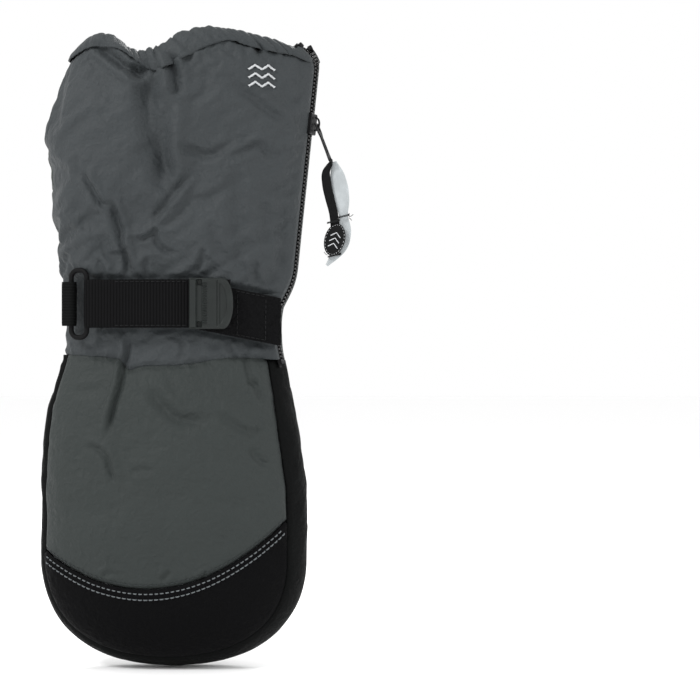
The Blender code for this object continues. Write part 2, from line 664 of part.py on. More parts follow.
def build_slider():
    """A slider body, its bridge, and the puller and tag that hang from it."""
    place, across, along, out = zip_frame(SLIDER_Z)
    turn = Matrix((across, along, out)).transposed().to_4x4()
    mount = empty("slider_mount", Matrix.Translation(place * MM) @ turn)
    half_wide, half_long = SLIDER_WIDTH / 2, SLIDER_LENGTH / 2
    face = ROW_HALF + SLIDER_CLEAR
    back = face + SLIDER_WALL

    low, high = (-half_wide, -half_long, face), (half_wide, half_long, back)
    body = box("slider_body", low, high, "zip_metal", mount)
    bevel = body.modifiers.new("rounded", "BEVEL")
    bevel.width = 0.4 * MM
    bevel.segments = 1
    flange_in, lip = ROW_OUTER + SLIDER_CLEAR, TAPE_HALF + SLIDER_CLEAR
    pieces = {"slider_rear_plate": ((-half_wide, -half_long, -back), (half_wide, half_long, -face)),
              "slider_post": ((-0.3, 2.8, -face - 0.2), (0.3, half_long, face + 0.2))}
    for side in (-1, 1):
        edges = sorted((side * flange_in, side * (half_wide - 0.01)))
        for front in (-1, 1):
            levels = sorted((front * lip, front * (face + 0.2)))
            name = f"slider_flange_{side}_{front}"
            pieces[name] = ((edges[0], 0.01 - half_long, levels[0]), (edges[1], half_long - 0.01, levels[1]))
    for name, (low, high) in pieces.items():
        boolean(body, as_cutter(box(name, low, high, "zip_metal", mount)), "UNION")

    foot = back + SLIDER_CLEAR
    turns = [math.pi * i / 10 for i in range(11)]
    arch = [(0, -BRIDGE_HALF * math.cos(t), foot + 0.4 + BRIDGE_RISE * math.sin(t)) for t in turns]
    ends = [(0, -BRIDGE_HALF, foot)], [(0, BRIDGE_HALF, foot)]
    wire("slider_bridge", ends[0] + arch + ends[1], BRIDGE_WIRE, "zip_metal", mount)

    swing = Matrix.Rotation(-PULLER_ANGLE, 4, "X")
    pivot = empty("puller_pivot", Matrix.Translation((0, 0, PULLER_PIVOT * MM)) @ swing, mount)
    half = PULLER_WIDTH / 2
    tip = -PULLER_LENGTH - RIM / 2
    hole = (0, tip + RIM + HOLE_RADIUS)
    outline = [(-half, 0.5), (-half, -5), (-1.5, -7.5), (-1.7, -17), (-2, -19.5)]
    outline += arc((0, tip + 2), (2, 2), 180, 360, 8)
    outline += [(2, -19.5), (1.7, -17), (1.5, -7.5), (half, -5), (half, 0.5)]
    eye = box_outline(-1.3, -4.3, 1.3, -0.5)
    slot = arc((0, -9), 0.7, 0, 180, 4) + arc((0, -16.5), 0.7, 180, 360, 4)
    round_hole = arc(hole, HOLE_RADIUS, 0, 360, 12)[:-1]
    plate("puller", [outline, eye, slot, round_hole], PULLER_HALF, "zip_metal", pivot)
    build_tag(mount, pivot)


def build_tag(mount, puller_pivot):
    """The ribbon, printed disc and reflective backing that hang straight down."""
    bpy.context.view_layer.update()
    hang = puller_pivot.matrix_world @ Vector((0, -PULLER_LENGTH * MM, 0))
    across = (mount.matrix_world.to_3x3() @ Vector((1, 0, 0))).normalized()
    up = Vector((0, 0, 1))
    up = (up - across * up.dot(across)).normalized()
    turn = Matrix((across, up, across.cross(up))).transposed().to_4x4()
    pivot = empty("tag_pivot", Matrix.Translation(hang) @ turn)
    face = empty("tag_face", Matrix.Rotation(TAG_TURN, 4, "Y"), pivot)

    loop = [(0, x, y) for x, y in arc((0, 0), TAG_LOOP, 0, 360, 16)[:-1]]
    ring = as_mesh(wire("tag_loop", loop, TAG_LOOP_WIRE, "webbing", pivot, cyclic=True))
    width, length = TAG_STRIP
    strip = box("tag_strip", (-width / 2, -length, -TAG_HALF), (width / 2, -TAG_LOOP - 0.1, TAG_HALF),
                "webbing", face)
    boolean(strip, as_cutter(ring), "UNION")
    disc = arc((0, -TAG_DISC_DROP), TAG_DISC_RADIUS, 0, 360, 32)[:-1]
    plate("tag_disc", [disc], TAG_DISC_HALF, "buckle_black", face)
    width, length = TAG_BACKING
    backing = box_outline(TAG_BACKING_SIDE, -length, width + TAG_BACKING_SIDE, -TAG_BACKING_DROP)
    sheet = plate("tag_backing", [backing], TAG_BACKING_HALF, "reflective", face)
    sheet.location.z = -TAG_BACKING_BEHIND * MM


# ---- Strap ----
def strap_surface(x, out):
    """A point over the cuff's back at the strap, and the direction out of it."""
    def depth(at_x):
        levels = (STRAP_Z + STRAP_HALF + 1, STRAP_Z, STRAP_Z - STRAP_HALF - 6)
        return max(section_depth(at_x, z) for z in levels)

    slope = (depth(x + 0.5) - depth(x - 0.5))
    outward = Vector((-slope, -1)).normalized()
    return Vector((x, -depth(x))) + outward * out, outward


def section_depth(x, z):
    middle, half, front, _ = half_sizes(z)
    share = min(abs(x - middle) / half, 0.99)
    return front * (1 - share**ROUNDNESS) ** (1 / ROUNDNESS)


def band(name, path, thickness, half_height, finish, slope=False, parent=None):
    """An upright band of even thickness along a path in plan."""
    rings = []
    for i, point in enumerate(path):
        before, after = path[max(i - 1, 0)], path[min(i + 1, len(path) - 1)]
        along = (after - before).normalized()
        side = Vector((along.y, -along.x)) * thickness / 2
        z = STRAP_Z + (BASE_SLOPE * max(0.0, point.x - BASE_SLOPE_START) if slope else 0.0)
        low, high = z - half_height, z + half_height
        a, b = point - side, point + side
        corners = ((a, low), (b, low), (b, high), (a, high))
        rings.append([Vector((corner.x, corner.y, level)) * MM for corner, level in corners])
    return loft(name, rings, finish, caps=True, parent=parent)


def layer_path(x_from, x_to, layer, steps, lift=0.0):
    """The middle of a layer from one x to another. The lift is added at the first end."""
    middle = sum(layer) / 2
    path = []
    for i in range(steps + 1):
        x = x_from + (x_to - x_from) * i / steps
        ease = max(0.0, 1 - (x - x_from) / STRAP_FALL) ** 2
        path.append(strap_surface(x, middle + lift * ease)[0])
    return path


def build_strap():
    bar_out = STRAP_BASE[1] + RING_CLEAR + RING_BAR
    bars = [strap_surface(x, bar_out)[0] for x in RING_X]
    left, right = bars
    wrap = RING_BAR + RING_CLEAR + WEBBING / 2

    base_start = right.x + wrap + 4.2
    band("strap_base", layer_path(base_start, STRAP_SEAM, STRAP_BASE, 14), WEBBING, STRAP_HALF,
         "webbing", slope=True)
    band("loop_tape", layer_path(TAPES_START, STRAP_SEAM, LOOP_TAPE, 12), LOOP_TAPE[1] - LOOP_TAPE[0],
         STRAP_HALF, "hook_and_loop", slope=True)
    band("hook_tape", layer_path(TAPES_START, TAB_END - 2, HOOK_TAPE, 9), HOOK_TAPE[1] - HOOK_TAPE[0],
         STRAP_HALF - 1, "hook_and_loop")

    outward = strap_surface(RING_X[1], 0)[1]
    start = math.atan2(-outward.y, -outward.x)
    turns = [start - math.pi * i / 10 for i in range(11)]
    fold = [right + Vector((math.cos(t), math.sin(t))) * wrap for t in turns]
    lift = bar_out + wrap - sum(STRAP_TOP) / 2
    top = layer_path(RING_X[1] + 3, TAB_END - 1, STRAP_TOP, 16, lift)
    band("strap_top", fold + top, WEBBING, STRAP_HALF, "webbing")
    band("end_tab", layer_path(TAB_START, TAB_END, END_TAB, 5), END_TAB[1] - END_TAB[0],
         STRAP_HALF + 0.7, "tab_grey")

    across = right - left
    corner, span, high = RING_CORNER, across.length, RING_HALF_HEIGHT
    outline = arc((span - corner, high - corner), corner, 0, 90, 4)
    outline += arc((corner, high - corner), corner, 90, 180, 4)
    outline += arc((corner, corner - high), corner, 180, 270, 4)
    outline += arc((span - corner, corner - high), corner, 270, 360, 4)
    direction = across.normalized()
    points = [(left.x + direction.x * s, left.y + direction.y * s, STRAP_Z + h) for s, h in outline]
    wire("strap_ring", points, RING_BAR, "buckle_black", cyclic=True)

    towards_seam = -direction
    side = Vector((-towards_seam.y, towards_seam.x))
    reach = RING_BAR + RING_CLEAR + 0.5
    turns = [math.pi / 2 - math.pi * i / 8 for i in range(9)]
    loop = [left - towards_seam * math.cos(t) * reach + side * math.sin(t) * reach for t in turns]
    legs = [towards_seam * length for length in KEEPER_LEGS]
    path = [loop[0] + leg for leg in legs] + loop + [loop[-1] + leg for leg in reversed(legs)]
    band("ring_keeper", path, KEEPER_THICK, KEEPER_HALF, "webbing")


build_cuff()
build_hem()
build_hand_shell()
build_hand_layers()
build_thumb()
build_zip()
build_slider()
build_strap()
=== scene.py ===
"""Looks for the left-hand ski mitten: sewn nylon panels, gathers, zip, tag and wrist strap.

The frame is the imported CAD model: +X is the little-finger side with the zip, -Y the back of the
hand and +Z the arm. Lengths here are in millimetres until a mesh is made, which is in metres;
the thumb's blend, the camera and the lights are placed in metres.
"""

import math

import bmesh
import bpy
import numpy as np
from mathutils import Matrix, Vector


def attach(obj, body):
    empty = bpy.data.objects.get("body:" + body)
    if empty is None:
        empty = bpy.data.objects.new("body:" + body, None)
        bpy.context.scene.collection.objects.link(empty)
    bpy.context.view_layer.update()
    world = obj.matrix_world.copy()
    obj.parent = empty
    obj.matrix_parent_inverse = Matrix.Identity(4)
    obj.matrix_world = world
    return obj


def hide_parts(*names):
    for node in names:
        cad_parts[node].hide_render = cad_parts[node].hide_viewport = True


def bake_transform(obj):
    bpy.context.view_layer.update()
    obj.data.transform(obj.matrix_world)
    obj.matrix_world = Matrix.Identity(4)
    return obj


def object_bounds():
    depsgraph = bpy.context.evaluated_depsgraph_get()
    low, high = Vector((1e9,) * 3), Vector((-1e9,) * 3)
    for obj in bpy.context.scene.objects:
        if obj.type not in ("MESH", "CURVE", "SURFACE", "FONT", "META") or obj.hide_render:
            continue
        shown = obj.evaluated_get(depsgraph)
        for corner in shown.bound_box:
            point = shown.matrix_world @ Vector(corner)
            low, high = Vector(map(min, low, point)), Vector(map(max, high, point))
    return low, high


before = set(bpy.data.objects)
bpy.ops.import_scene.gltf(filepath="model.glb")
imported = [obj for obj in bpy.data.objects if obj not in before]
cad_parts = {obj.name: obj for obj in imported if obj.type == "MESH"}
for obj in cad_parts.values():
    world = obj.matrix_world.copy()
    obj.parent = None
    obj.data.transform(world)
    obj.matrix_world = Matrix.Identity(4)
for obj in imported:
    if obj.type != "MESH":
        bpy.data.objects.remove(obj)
cad_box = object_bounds()
MM = 0.001
ROOT = "hand_and_cuff"

# ---- The body's form, as in the CAD ----
STATIONS = np.array((  # height, left edge, right edge, depth in front, depth behind
    (12.0, -48.0, 66.0, 25.0, 24.0),
    (0.0, -50.0, 70.0, 26.0, 25.0),
    (-13.0, -56.0, 74.0, 28.0, 27.0),
    (-30.0, -63.0, 73.6, 29.5, 28.5),
    (-46.0, -69.0, 72.2, 30.0, 29.0),
    (-70.0, -67.0, 69.8, 30.0, 29.0),
    (-95.0, -65.5, 66.8, 28.5, 27.5),
    (-120.0, -60.5, 63.6, 24.0, 23.0),
    (-134.0, -57.5, 59.5, 21.5, 20.5),
    (-142.0, -57.0, 57.0, 21.0, 20.0),
    (-160.0, -57.5, 57.0, 20.5, 19.5),
    (-172.0, -60.5, 60.0, 22.0, 21.0),
    (-190.0, -66.5, 63.0, 26.0, 24.5),
    (-209.0, -69.0, 66.5, 28.5, 26.5),
    (-232.0, -70.6, 69.8, 29.5, 27.0),
    (-250.0, -69.6, 70.8, 29.5, 27.0),
    (-270.0, -70.4, 70.0, 28.0, 25.5),
    (-290.0, -70.4, 70.0, 28.0, 25.5),
))
TIP_START, TIP_HEIGHT = -270.0, 58.6
ROUNDNESS = 2.3
WRIST_SEAM = -172.0
CUFF_JOIN = -133.0
ZIP_Y, ZIP_TURN, ZIP_LEAN = -7.0, math.radians(20), 0.105
ZIP_BEND, ZIP_BOTTOM = -118.0, -169.0
SLIDER_Z, SLIDER_X = -43.0, 71.8
STRAP_Z, STRAP_HALF = -138.0, 12.5
STRAP_SLOPE, SLOPE_START = -0.2, 10.0  # the strap's base runs down towards the side seam from here

TABLE_Z = np.arange(12.0, -290.0, -0.5)


def smooth_column(column):
    """One station column at every table height, rounded off between the stations."""
    values = np.interp(-TABLE_Z, -STATIONS[:, 0], STATIONS[:, column])
    kernel = np.exp(-np.linspace(-2.2, 2.2, 45) ** 2)
    padded = np.pad(values, 22, mode="edge")
    return np.convolve(padded, kernel / kernel.sum(), mode="valid")


COLUMNS = [smooth_column(i) for i in (1, 2, 3, 4)]


def outline(z):
    """The section's middle, half width, and depths in front and behind, at heights z."""
    z = np.maximum(z, TIP_START)
    left, right, front, rear = (np.interp(-z, -TABLE_Z, column) for column in COLUMNS)
    return (left + right) / 2, (right - left) / 2, front, rear


def signed_power(value, power):
    return np.sign(value) * np.abs(value) ** power


def soft_step(value):
    """0 below 0 and 1 above 1, with a smooth rise between."""
    value = np.clip(value, 0, 1)
    return value * value * (3 - 2 * value)


def unit(vectors):
    """The same directions, each one long."""
    return vectors / np.maximum(np.linalg.norm(vectors, axis=-1, keepdims=True), 1e-9)


def xyz(points):
    return points[..., 0], points[..., 1], points[..., 2]


def pairs(first, second):
    """2-D points from their two coordinates."""
    return np.stack((first, second), axis=-1)


def interpolate(at, known, values):
    """Rows of values, interpolated at places between the known ones."""
    return np.stack([np.interp(at, known, column) for column in values.T], axis=-1)


def distances(points, axis=0):
    """How far each point is from the start of its line of points."""
    steps = np.linalg.norm(np.diff(points, axis=axis), axis=-1)
    start = np.zeros_like(np.take(steps, [0], axis=axis))
    return np.concatenate((start, np.cumsum(steps, axis=axis)), axis=axis)


def gauge(x, y, z):
    """1 on the body's surface, less inside it and more outside."""
    middle, half, front, rear = outline(z)
    depth = np.where(y < 0, front, rear)
    below = np.maximum(TIP_START - z, 0) / TIP_HEIGHT
    parts = np.abs((x - middle) / half) ** ROUNDNESS + np.abs(y / depth) ** ROUNDNESS + below**ROUNDNESS
    return parts ** (1 / ROUNDNESS)


def normals(points):
    """The outward directions of the body's surface at points of shape (..., 3)."""
    x, y, z = xyz(points)
    step = 0.05
    return unit(np.stack((gauge(x + step, y, z) - gauge(x - step, y, z),
                          gauge(x, y + step, z) - gauge(x, y - step, z),
                          gauge(x, y, z + step) - gauge(x, y, z - step)), axis=-1))


def ring_points(z, angle):
    """Points on the body by height and angle. The angle is 0 at +X and turns to the back of the hand."""
    middle, half, front, rear = outline(z)
    out = np.sin(angle)
    depth = np.where(out > 0, front, rear)
    power = 2 / ROUNDNESS
    x = middle + half * signed_power(np.cos(angle), power)
    y = -depth * signed_power(out, power)
    return np.stack(np.broadcast_arrays(x, y, z), axis=-1)


def face_points(x, z, side):
    """Points on the back (side -1) or palm (side 1) above x and z."""
    middle, half, front, rear = outline(z)
    depth = front if side < 0 else rear
    below = np.maximum(TIP_START - z, 0) / TIP_HEIGHT
    across = np.abs((x - middle) / half) ** ROUNDNESS + below**ROUNDNESS
    y = side * depth * np.maximum(1 - across, 0) ** (1 / ROUNDNESS)
    return np.stack(np.broadcast_arrays(x, y, z), axis=-1)


def angle_at_y(z, y):
    """The angle near +X where the body has this y."""
    _, _, front, rear = outline(z)
    depth = np.where(y < 0, front, rear)
    return -np.sign(y) * np.arcsin(np.minimum(np.abs(y) / depth, 1) ** (ROUNDNESS / 2))


# ---- Relief: folds, gathers and seams, in millimetres out of the body ----
def to_path(points, path):
    """Distance from 2-D points to a path, the share along it, and the side (+1 left of it)."""
    best = np.full(points.shape[:-1], 1e9)
    share = np.zeros_like(best)
    side = np.ones_like(best)
    lengths = np.linalg.norm(np.diff(path, axis=0), axis=1)
    starts = np.concatenate(([0], np.cumsum(lengths)))
    for (a, b, start, length) in zip(path, path[1:], starts, lengths):
        along = (b - a) / max(length, 1e-9)
        offset = points - a
        t = np.clip(offset @ along, 0, length)
        gap = points - (a + t[..., None] * along)
        distance = np.linalg.norm(gap, axis=-1)
        closer = distance < best
        best = np.where(closer, distance, best)
        share = np.where(closer, (start + t) / starts[-1], share)
        cross = along[0] * offset[..., 1] - along[1] * offset[..., 0]
        side = np.where(closer, np.sign(cross), side)
    return best, share, side


def curve_through(points, steps=24):
    """A smooth path through 2-D points, by Catmull-Rom curves."""
    points = np.array(points, float)
    if len(points) < 3:
        return points
    ends = np.vstack((2 * points[0] - points[1], points, 2 * points[-1] - points[-2]))
    path = []
    per = max(2, steps // (len(points) - 1))
    for p0, p1, p2, p3 in zip(ends, ends[1:], ends[2:], ends[3:]):
        for t in np.arange(per) / per:
            path.append(0.5 * (2 * p1 + (p2 - p0) * t + (2 * p0 - 5 * p1 + 4 * p2 - p3) * t**2
                               + (3 * p1 - p0 - 3 * p2 + p3) * t**3))
    path.append(points[-1])
    return np.array(path)


FOLD_END = 0.22  # the share of a fold's length over which each end fades


def fold(points, path, width, depth, lean=0.0):
    """A crease along a path: a valley of this depth that fades at its ends, with soft banks.

    A lean raises the bank to the left of the path (positive) or to the right (negative).
    """
    distance, share, side = to_path(points, curve_through(path))
    fade = soft_step(np.minimum(share / FOLD_END, (1 - share) / FOLD_END))
    end_gap = np.where((share <= 0) | (share >= 1), distance, 0)
    reach = distance / width
    valley = -np.exp(-(reach**2))
    bank = 0.45 * np.exp(-((reach - 1.9) ** 2) / 1.1)
    bank = bank * (1 + lean * side)
    return depth * fade * (valley + bank) * (end_gap < width)


# Each fold is its path (x and height on the body), its width, its depth and its lean.
CUFF_BACK_FOLDS = (
    (((-41, -2), (-30, -10), (-22, -17), (-16.5, -20.5)), 2.4, 3.0, 0.3),
    (((-19, -14), (-16.5, -19.5), (-13.5, -15)), 2.6, 4.6, 0.0),
    (((-13, -12), (-10.5, -34), (-7.5, -56), (-3.5, -76), (-1.5, -86)), 5.2, 4.2, 0.4),
    (((-5.5, -5), (1.5, -16), (3.6, -25), (3, -33)), 2.4, 3.4, -0.2),
    (((1, -30), (-1.5, -46), (-2, -62), (2, -76)), 3.6, 3.2, 0.0),
    (((10.5, -69), (3, -80), (-5, -90), (-11.5, -97)), 2.1, 2.0, 0.8),
    (((-44.5, -69), (-39.5, -78.5), (-35.5, -86), (-31, -89)), 1.6, 1.8, 0.4),
    (((-31, -82), (-28, -95), (-25.5, -106), (-22.5, -117), (-22, -127)), 1.9, 2.8, 0.5),
    (((-51, -82), (-42, -95), (-33, -109), (-24.5, -122)), 4.2, 1.7, 0.0),
    (((3, -56), (13, -60), (21, -61.5), (28, -58.5), (35, -54.5)), 2.4, 1.3, 0.6),
    (((27, -64), (37, -60), (46, -56), (50, -61), (54, -60)), 1.8, 1.1, 0.4),
    (((-19, -106.5), (-10, -103), (-7.5, -101), (-6.5, -107), (-1, -111.5), (4, -109)), 1.5, 1.5, 0.3),
    (((36, -66), (34.5, -88), (34.5, -109), (35, -127)), 3.8, 1.6, 0.0),
    (((21, -93), (23, -106), (25.5, -115)), 2.4, 0.9, 0.0),
    (((58, -77), (57, -103), (55, -124)), 2.6, 1.1, 0.0),
    (((13.5, -122), (16.5, -113), (17.5, -108)), 1.6, 1.3, 0.0),
    (((46, -10), (44, -1), (43, 4)), 1.6, 1.6, 0.0),
    (((32, -27), (43, -32), (51, -39), (61, -43)), 2.4, 0.9, 0.0),
    (((-60, -61), (-50, -77), (-34, -100)), 5.5, 1.2, 0.0),
    (((-58, -50), (-48, -46), (-38, -42), (-26, -41)), 3.5, 0.8, 0.0),
    (((-48, -60), (-46, -70), (-40, -76)), 2.5, 0.7, 0.0),
    (((3, -33), (12, -34), (22, -26)), 3.0, 0.9, 0.0),
    (((48, -82), (50, -95), (47, -110)), 3.4, 0.9, 0.0),
    (((-12, -127), (-13, -119), (-11, -113)), 1.6, 1.2, 0.0),
    (((-36, -128), (-36, -120), (-38, -113)), 1.8, 1.0, 0.0),
    (((45, -129), (43, -121), (44, -114)), 1.8, 1.0, 0.0),
)
CUFF_PALM_FOLDS = (
    (((-52.5, -23), (-46, -27.5), (-38, -33), (-27.5, -38)), 2.5, 2.4, -0.5),
    (((-59, -40), (-41, -42.5), (-25, -47.5), (-14, -51.5)), 4.4, 2.2, 0.0),
    (((-13, -43), (-8, -46), (-2.5, -51.5), (1.6, -55.5)), 2.8, 2.5, -0.4),
    (((1.6, -55.5), (9.5, -51.5), (17.5, -45), (20, -37), (25.5, -32), (36, -16)), 3.5, 1.7, 0.5),
    (((9, -13), (17, -19.5), (24, -22)), 2.9, 2.5, 0.0),
    (((-35.5, -66), (-25, -71.5), (-14, -76), (-1, -78)), 3.8, 1.4, 0.0),
    (((0, -78.5), (-14, -87.5), (-30, -97), (-43.5, -106)), 2.5, 1.8, 0.5),
    (((-14, -103), (-9, -111), (-4, -118), (1.6, -124.5)), 2.9, 1.2, 0.3),
    (((36, -116.5), (25.5, -128), (18.5, -135)), 2.5, 1.9, 0.4),
    (((54.5, -90), (49, -103), (44, -116.5), (40, -130)), 2.9, 1.4, 0.3),
    (((49, -45), (44, -71.5), (38.5, -103)), 4.2, 1.5, 0.0),
    (((-59, -116.5), (-51, -122), (-43, -125)), 2.5, 1.7, 0.0),
    (((-27.5, -122), (-26.5, -131), (-22, -137)), 2.3, 1.4, 0.0),
    (((-19.5, -124.5), (-14, -132.5), (-11.5, -138)), 2.3, 1.4, 0.0),
    (((44, -37), (52, -38.5), (62, -36)), 3.2, 0.9, 0.0),
    (((-58, -58), (-54, -80), (-50, -100)), 3.8, 1.3, 0.0),
    (((-45, -126), (-38, -129), (-34, -136)), 2.3, 1.4, 0.0),
    (((52, -108), (48, -122), (42, -135)), 2.9, 1.1, 0.0),
)
HAND_BACK_FOLDS = (
    (((-23, -150), (-23, -162), (-24.5, -169.5), (-26, -180), (-29, -191), (-31.5, -201), (-33.5, -208.5)),
     1.5, 2.3, -0.9),
    (((-46, -213), (-39.5, -212.5), (-33, -217), (-30.5, -225), (-28, -232)), 1.7, 1.2, 0.4),
    (((-13, -180), (-7.5, -186.5), (-2.5, -192.5), (5.5, -198), (21.5, -199)), 3.2, 1.8, 0.3),
    (((23, -193.5), (34.5, -201.5), (44, -205), (49.5, -199)), 2.2, 1.2, 0.3),
    (((41, -212), (46.5, -219), (51.5, -222.5)), 2.0, 1.0, 0.0),
    (((37, -159), (41, -175), (46.5, -185.5), (50.5, -191)), 1.8, 1.2, 0.3),
    (((39, -178), (46, -180)), 1.6, 0.8, 0.0),
    (((-21, -225), (-12, -224), (-7.5, -225)), 2.0, 0.7, 0.0),
    (((-5, -282), (1, -275.5)), 1.4, 0.9, 0.0),
    (((-36, -280), (-30, -277), (-27, -279)), 1.4, 0.8, 0.0),
    (((16, -281), (19, -276)), 1.3, 0.7, 0.0),
    (((5, -154), (6, -163), (3, -169)), 1.5, 1.0, 0.0),
    (((28, -152), (30, -161), (34, -168)), 1.5, 1.0, 0.0),
    (((-50, -186), (-44, -183), (-36, -184)), 2.4, 0.6, 0.0),
    (((-58, -240), (-40, -246), (-20, -243)), 6.0, 0.7, 0.0),
    (((10, -228), (26, -240), (46, -246)), 6.0, 0.7, 0.0),
)
HAND_PALM_FOLDS = (
    (((20, -200), (38, -206), (56, -202)), 5.0, 0.7, 0.0),
    (((10, -250), (30, -262), (52, -256)), 5.0, 0.6, 0.0),
)


def add_folds(points, folds):
    """The relief of all these folds at 2-D points, worked out only near each fold."""
    relief = np.zeros(points.shape[:-1])
    for path, width, depth, lean in folds:
        low, high = np.min(path, axis=0) - 5 * width, np.max(path, axis=0) + 5 * width
        near = np.all((points > low) & (points < high), axis=-1)
        if near.any():
            relief[near] += fold(points[near], path, width, depth, lean)
    return relief


LATTICE = 64


def value_noise(points, scale, seed):
    """Smooth noise from -1 to 1 over 2-D or 3-D points, by interpolating a random lattice."""
    lattice = np.random.default_rng(seed).uniform(-1, 1, (LATTICE,) * points.shape[-1])
    place = points / scale
    cell = np.floor(place).astype(int)
    t = soft_step(place - cell)
    total = np.zeros(points.shape[:-1])
    for corner in np.ndindex((2,) * points.shape[-1]):
        weight = np.ones(points.shape[:-1])
        index = []
        for axis, bit in enumerate(corner):
            weight = weight * (t[..., axis] if bit else 1 - t[..., axis])
            index.append((cell[..., axis] + bit) % LATTICE)
        total = total + weight * lattice[tuple(index)]
    return total


def soft_bumps(points):
    """Gentle unevenness that all the fabric has."""
    return (0.35 * value_noise(points, 17.0, 1) + 0.22 * value_noise(points, 8.0, 2)
            + 0.07 * value_noise(points, 3.2, 3))


PINCHES, PINCH_START = 80, -90.0


def pinches(x, spacing, seed, sharp):
    """Gathers across x: valleys at uneven steps, from 0 between them to -1 in each."""
    rng = np.random.default_rng(seed)
    places = np.cumsum(rng.uniform(0.5, 1.5, PINCHES) * spacing) + PINCH_START
    depths = rng.uniform(0.45, 1.0, PINCHES)
    relief = np.zeros_like(x)
    for place, depth in zip(places, depths):
        relief = relief - depth * np.exp(-(((x - place) / sharp) ** 2))
    return relief


# ---- Meshes ----
def add_object(name, data):
    item = bpy.data.objects.new(name, data)
    bpy.context.scene.collection.objects.link(item)
    return item


def grid_mesh(name, points, uv=None, thickness=0.9, closed=False):
    """A piece from a grid of points in millimetres. Closed joins the last column to the first."""
    rows, columns = points.shape[:2]
    mesh = bpy.data.meshes.new(name)
    index = np.arange(rows * columns).reshape(rows, columns)
    right = np.roll(index, -1, axis=1) if closed else index[:, 1:]
    left = index if closed else index[:, :-1]
    quads = np.stack((left[:-1], right[:-1], right[1:], left[1:]), axis=-1).reshape(-1, 4)
    mesh.from_pydata((points.reshape(-1, 3) * MM).tolist(), [], quads.tolist())
    layer = mesh.uv_layers.new(name="cloth")
    if uv is None:
        uv = pairs(distances(points, 1), distances(points)) * MM
    corner_uv = uv.reshape(-1, 2)[quads.reshape(-1)]
    layer.data.foreach_set("uv", corner_uv.ravel())
    mesh.shade_smooth()
    piece = add_object(name, mesh)
    if thickness:
        wall = piece.modifiers.new("wall", "SOLIDIFY")
        wall.thickness = thickness * MM
        wall.offset = -1
    return piece


FACES_TESTED = 200


def facing(piece, outward):
    """Turns the piece's faces so that most of them face out of the body."""
    mesh = piece.data
    sample = list(mesh.polygons)[:: max(1, len(mesh.polygons) // FACES_TESTED)]
    score = sum(face.normal.dot(outward(face.center)) for face in sample)
    if score < 0:
        mesh.flip_normals()
    return piece


def out_of_body(centre):
    point = np.array(centre) / MM
    return Vector(normals(point[None])[0])


def mesh_piece(name, form, smooth=True):
    mesh = bpy.data.meshes.new(name)
    bmesh.ops.recalc_face_normals(form, faces=form.faces)
    form.to_mesh(mesh)
    form.free()
    if smooth:
        mesh.shade_smooth()
    return add_object(name, mesh)


def finish_piece(piece, material, body=ROOT, replaces=()):
    piece.data.materials.clear()
    piece.data.materials.append(material)
    if body:
        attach(piece, body)
    if replaces:
        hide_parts(*replaces)
    return piece


def skin(name, points, material, slot, *nodes, **wall):
    """A layer of fabric round the body, from a grid of points, in place of these parts of the CAD."""
    piece = facing(grid_mesh(name, points, **wall), out_of_body)
    return finish_piece(piece, material, replaces=nodes)


def join_rings(form, rings, caps=True):
    """Faces between rings of vertices, and over the first and the last."""
    count = len(rings[0])
    for first, second in zip(rings, rings[1:]):
        for k in range(count):
            j = (k + 1) % count
            form.faces.new((first[k], first[j], second[j], second[k]))
    if caps:
        form.faces.new(rings[0][::-1])
        form.faces.new(rings[-1])


# ---- Materials ----
def srgb(red, green, blue):
    """A linear colour from the 0 to 255 values that a screen shows."""
    linear = []
    for value in (red, green, blue):
        value = value / 255
        linear.append(value / 12.92 if value <= 0.04045 else ((value + 0.055) / 1.055) ** 2.4)
    return (*linear, 1.0)


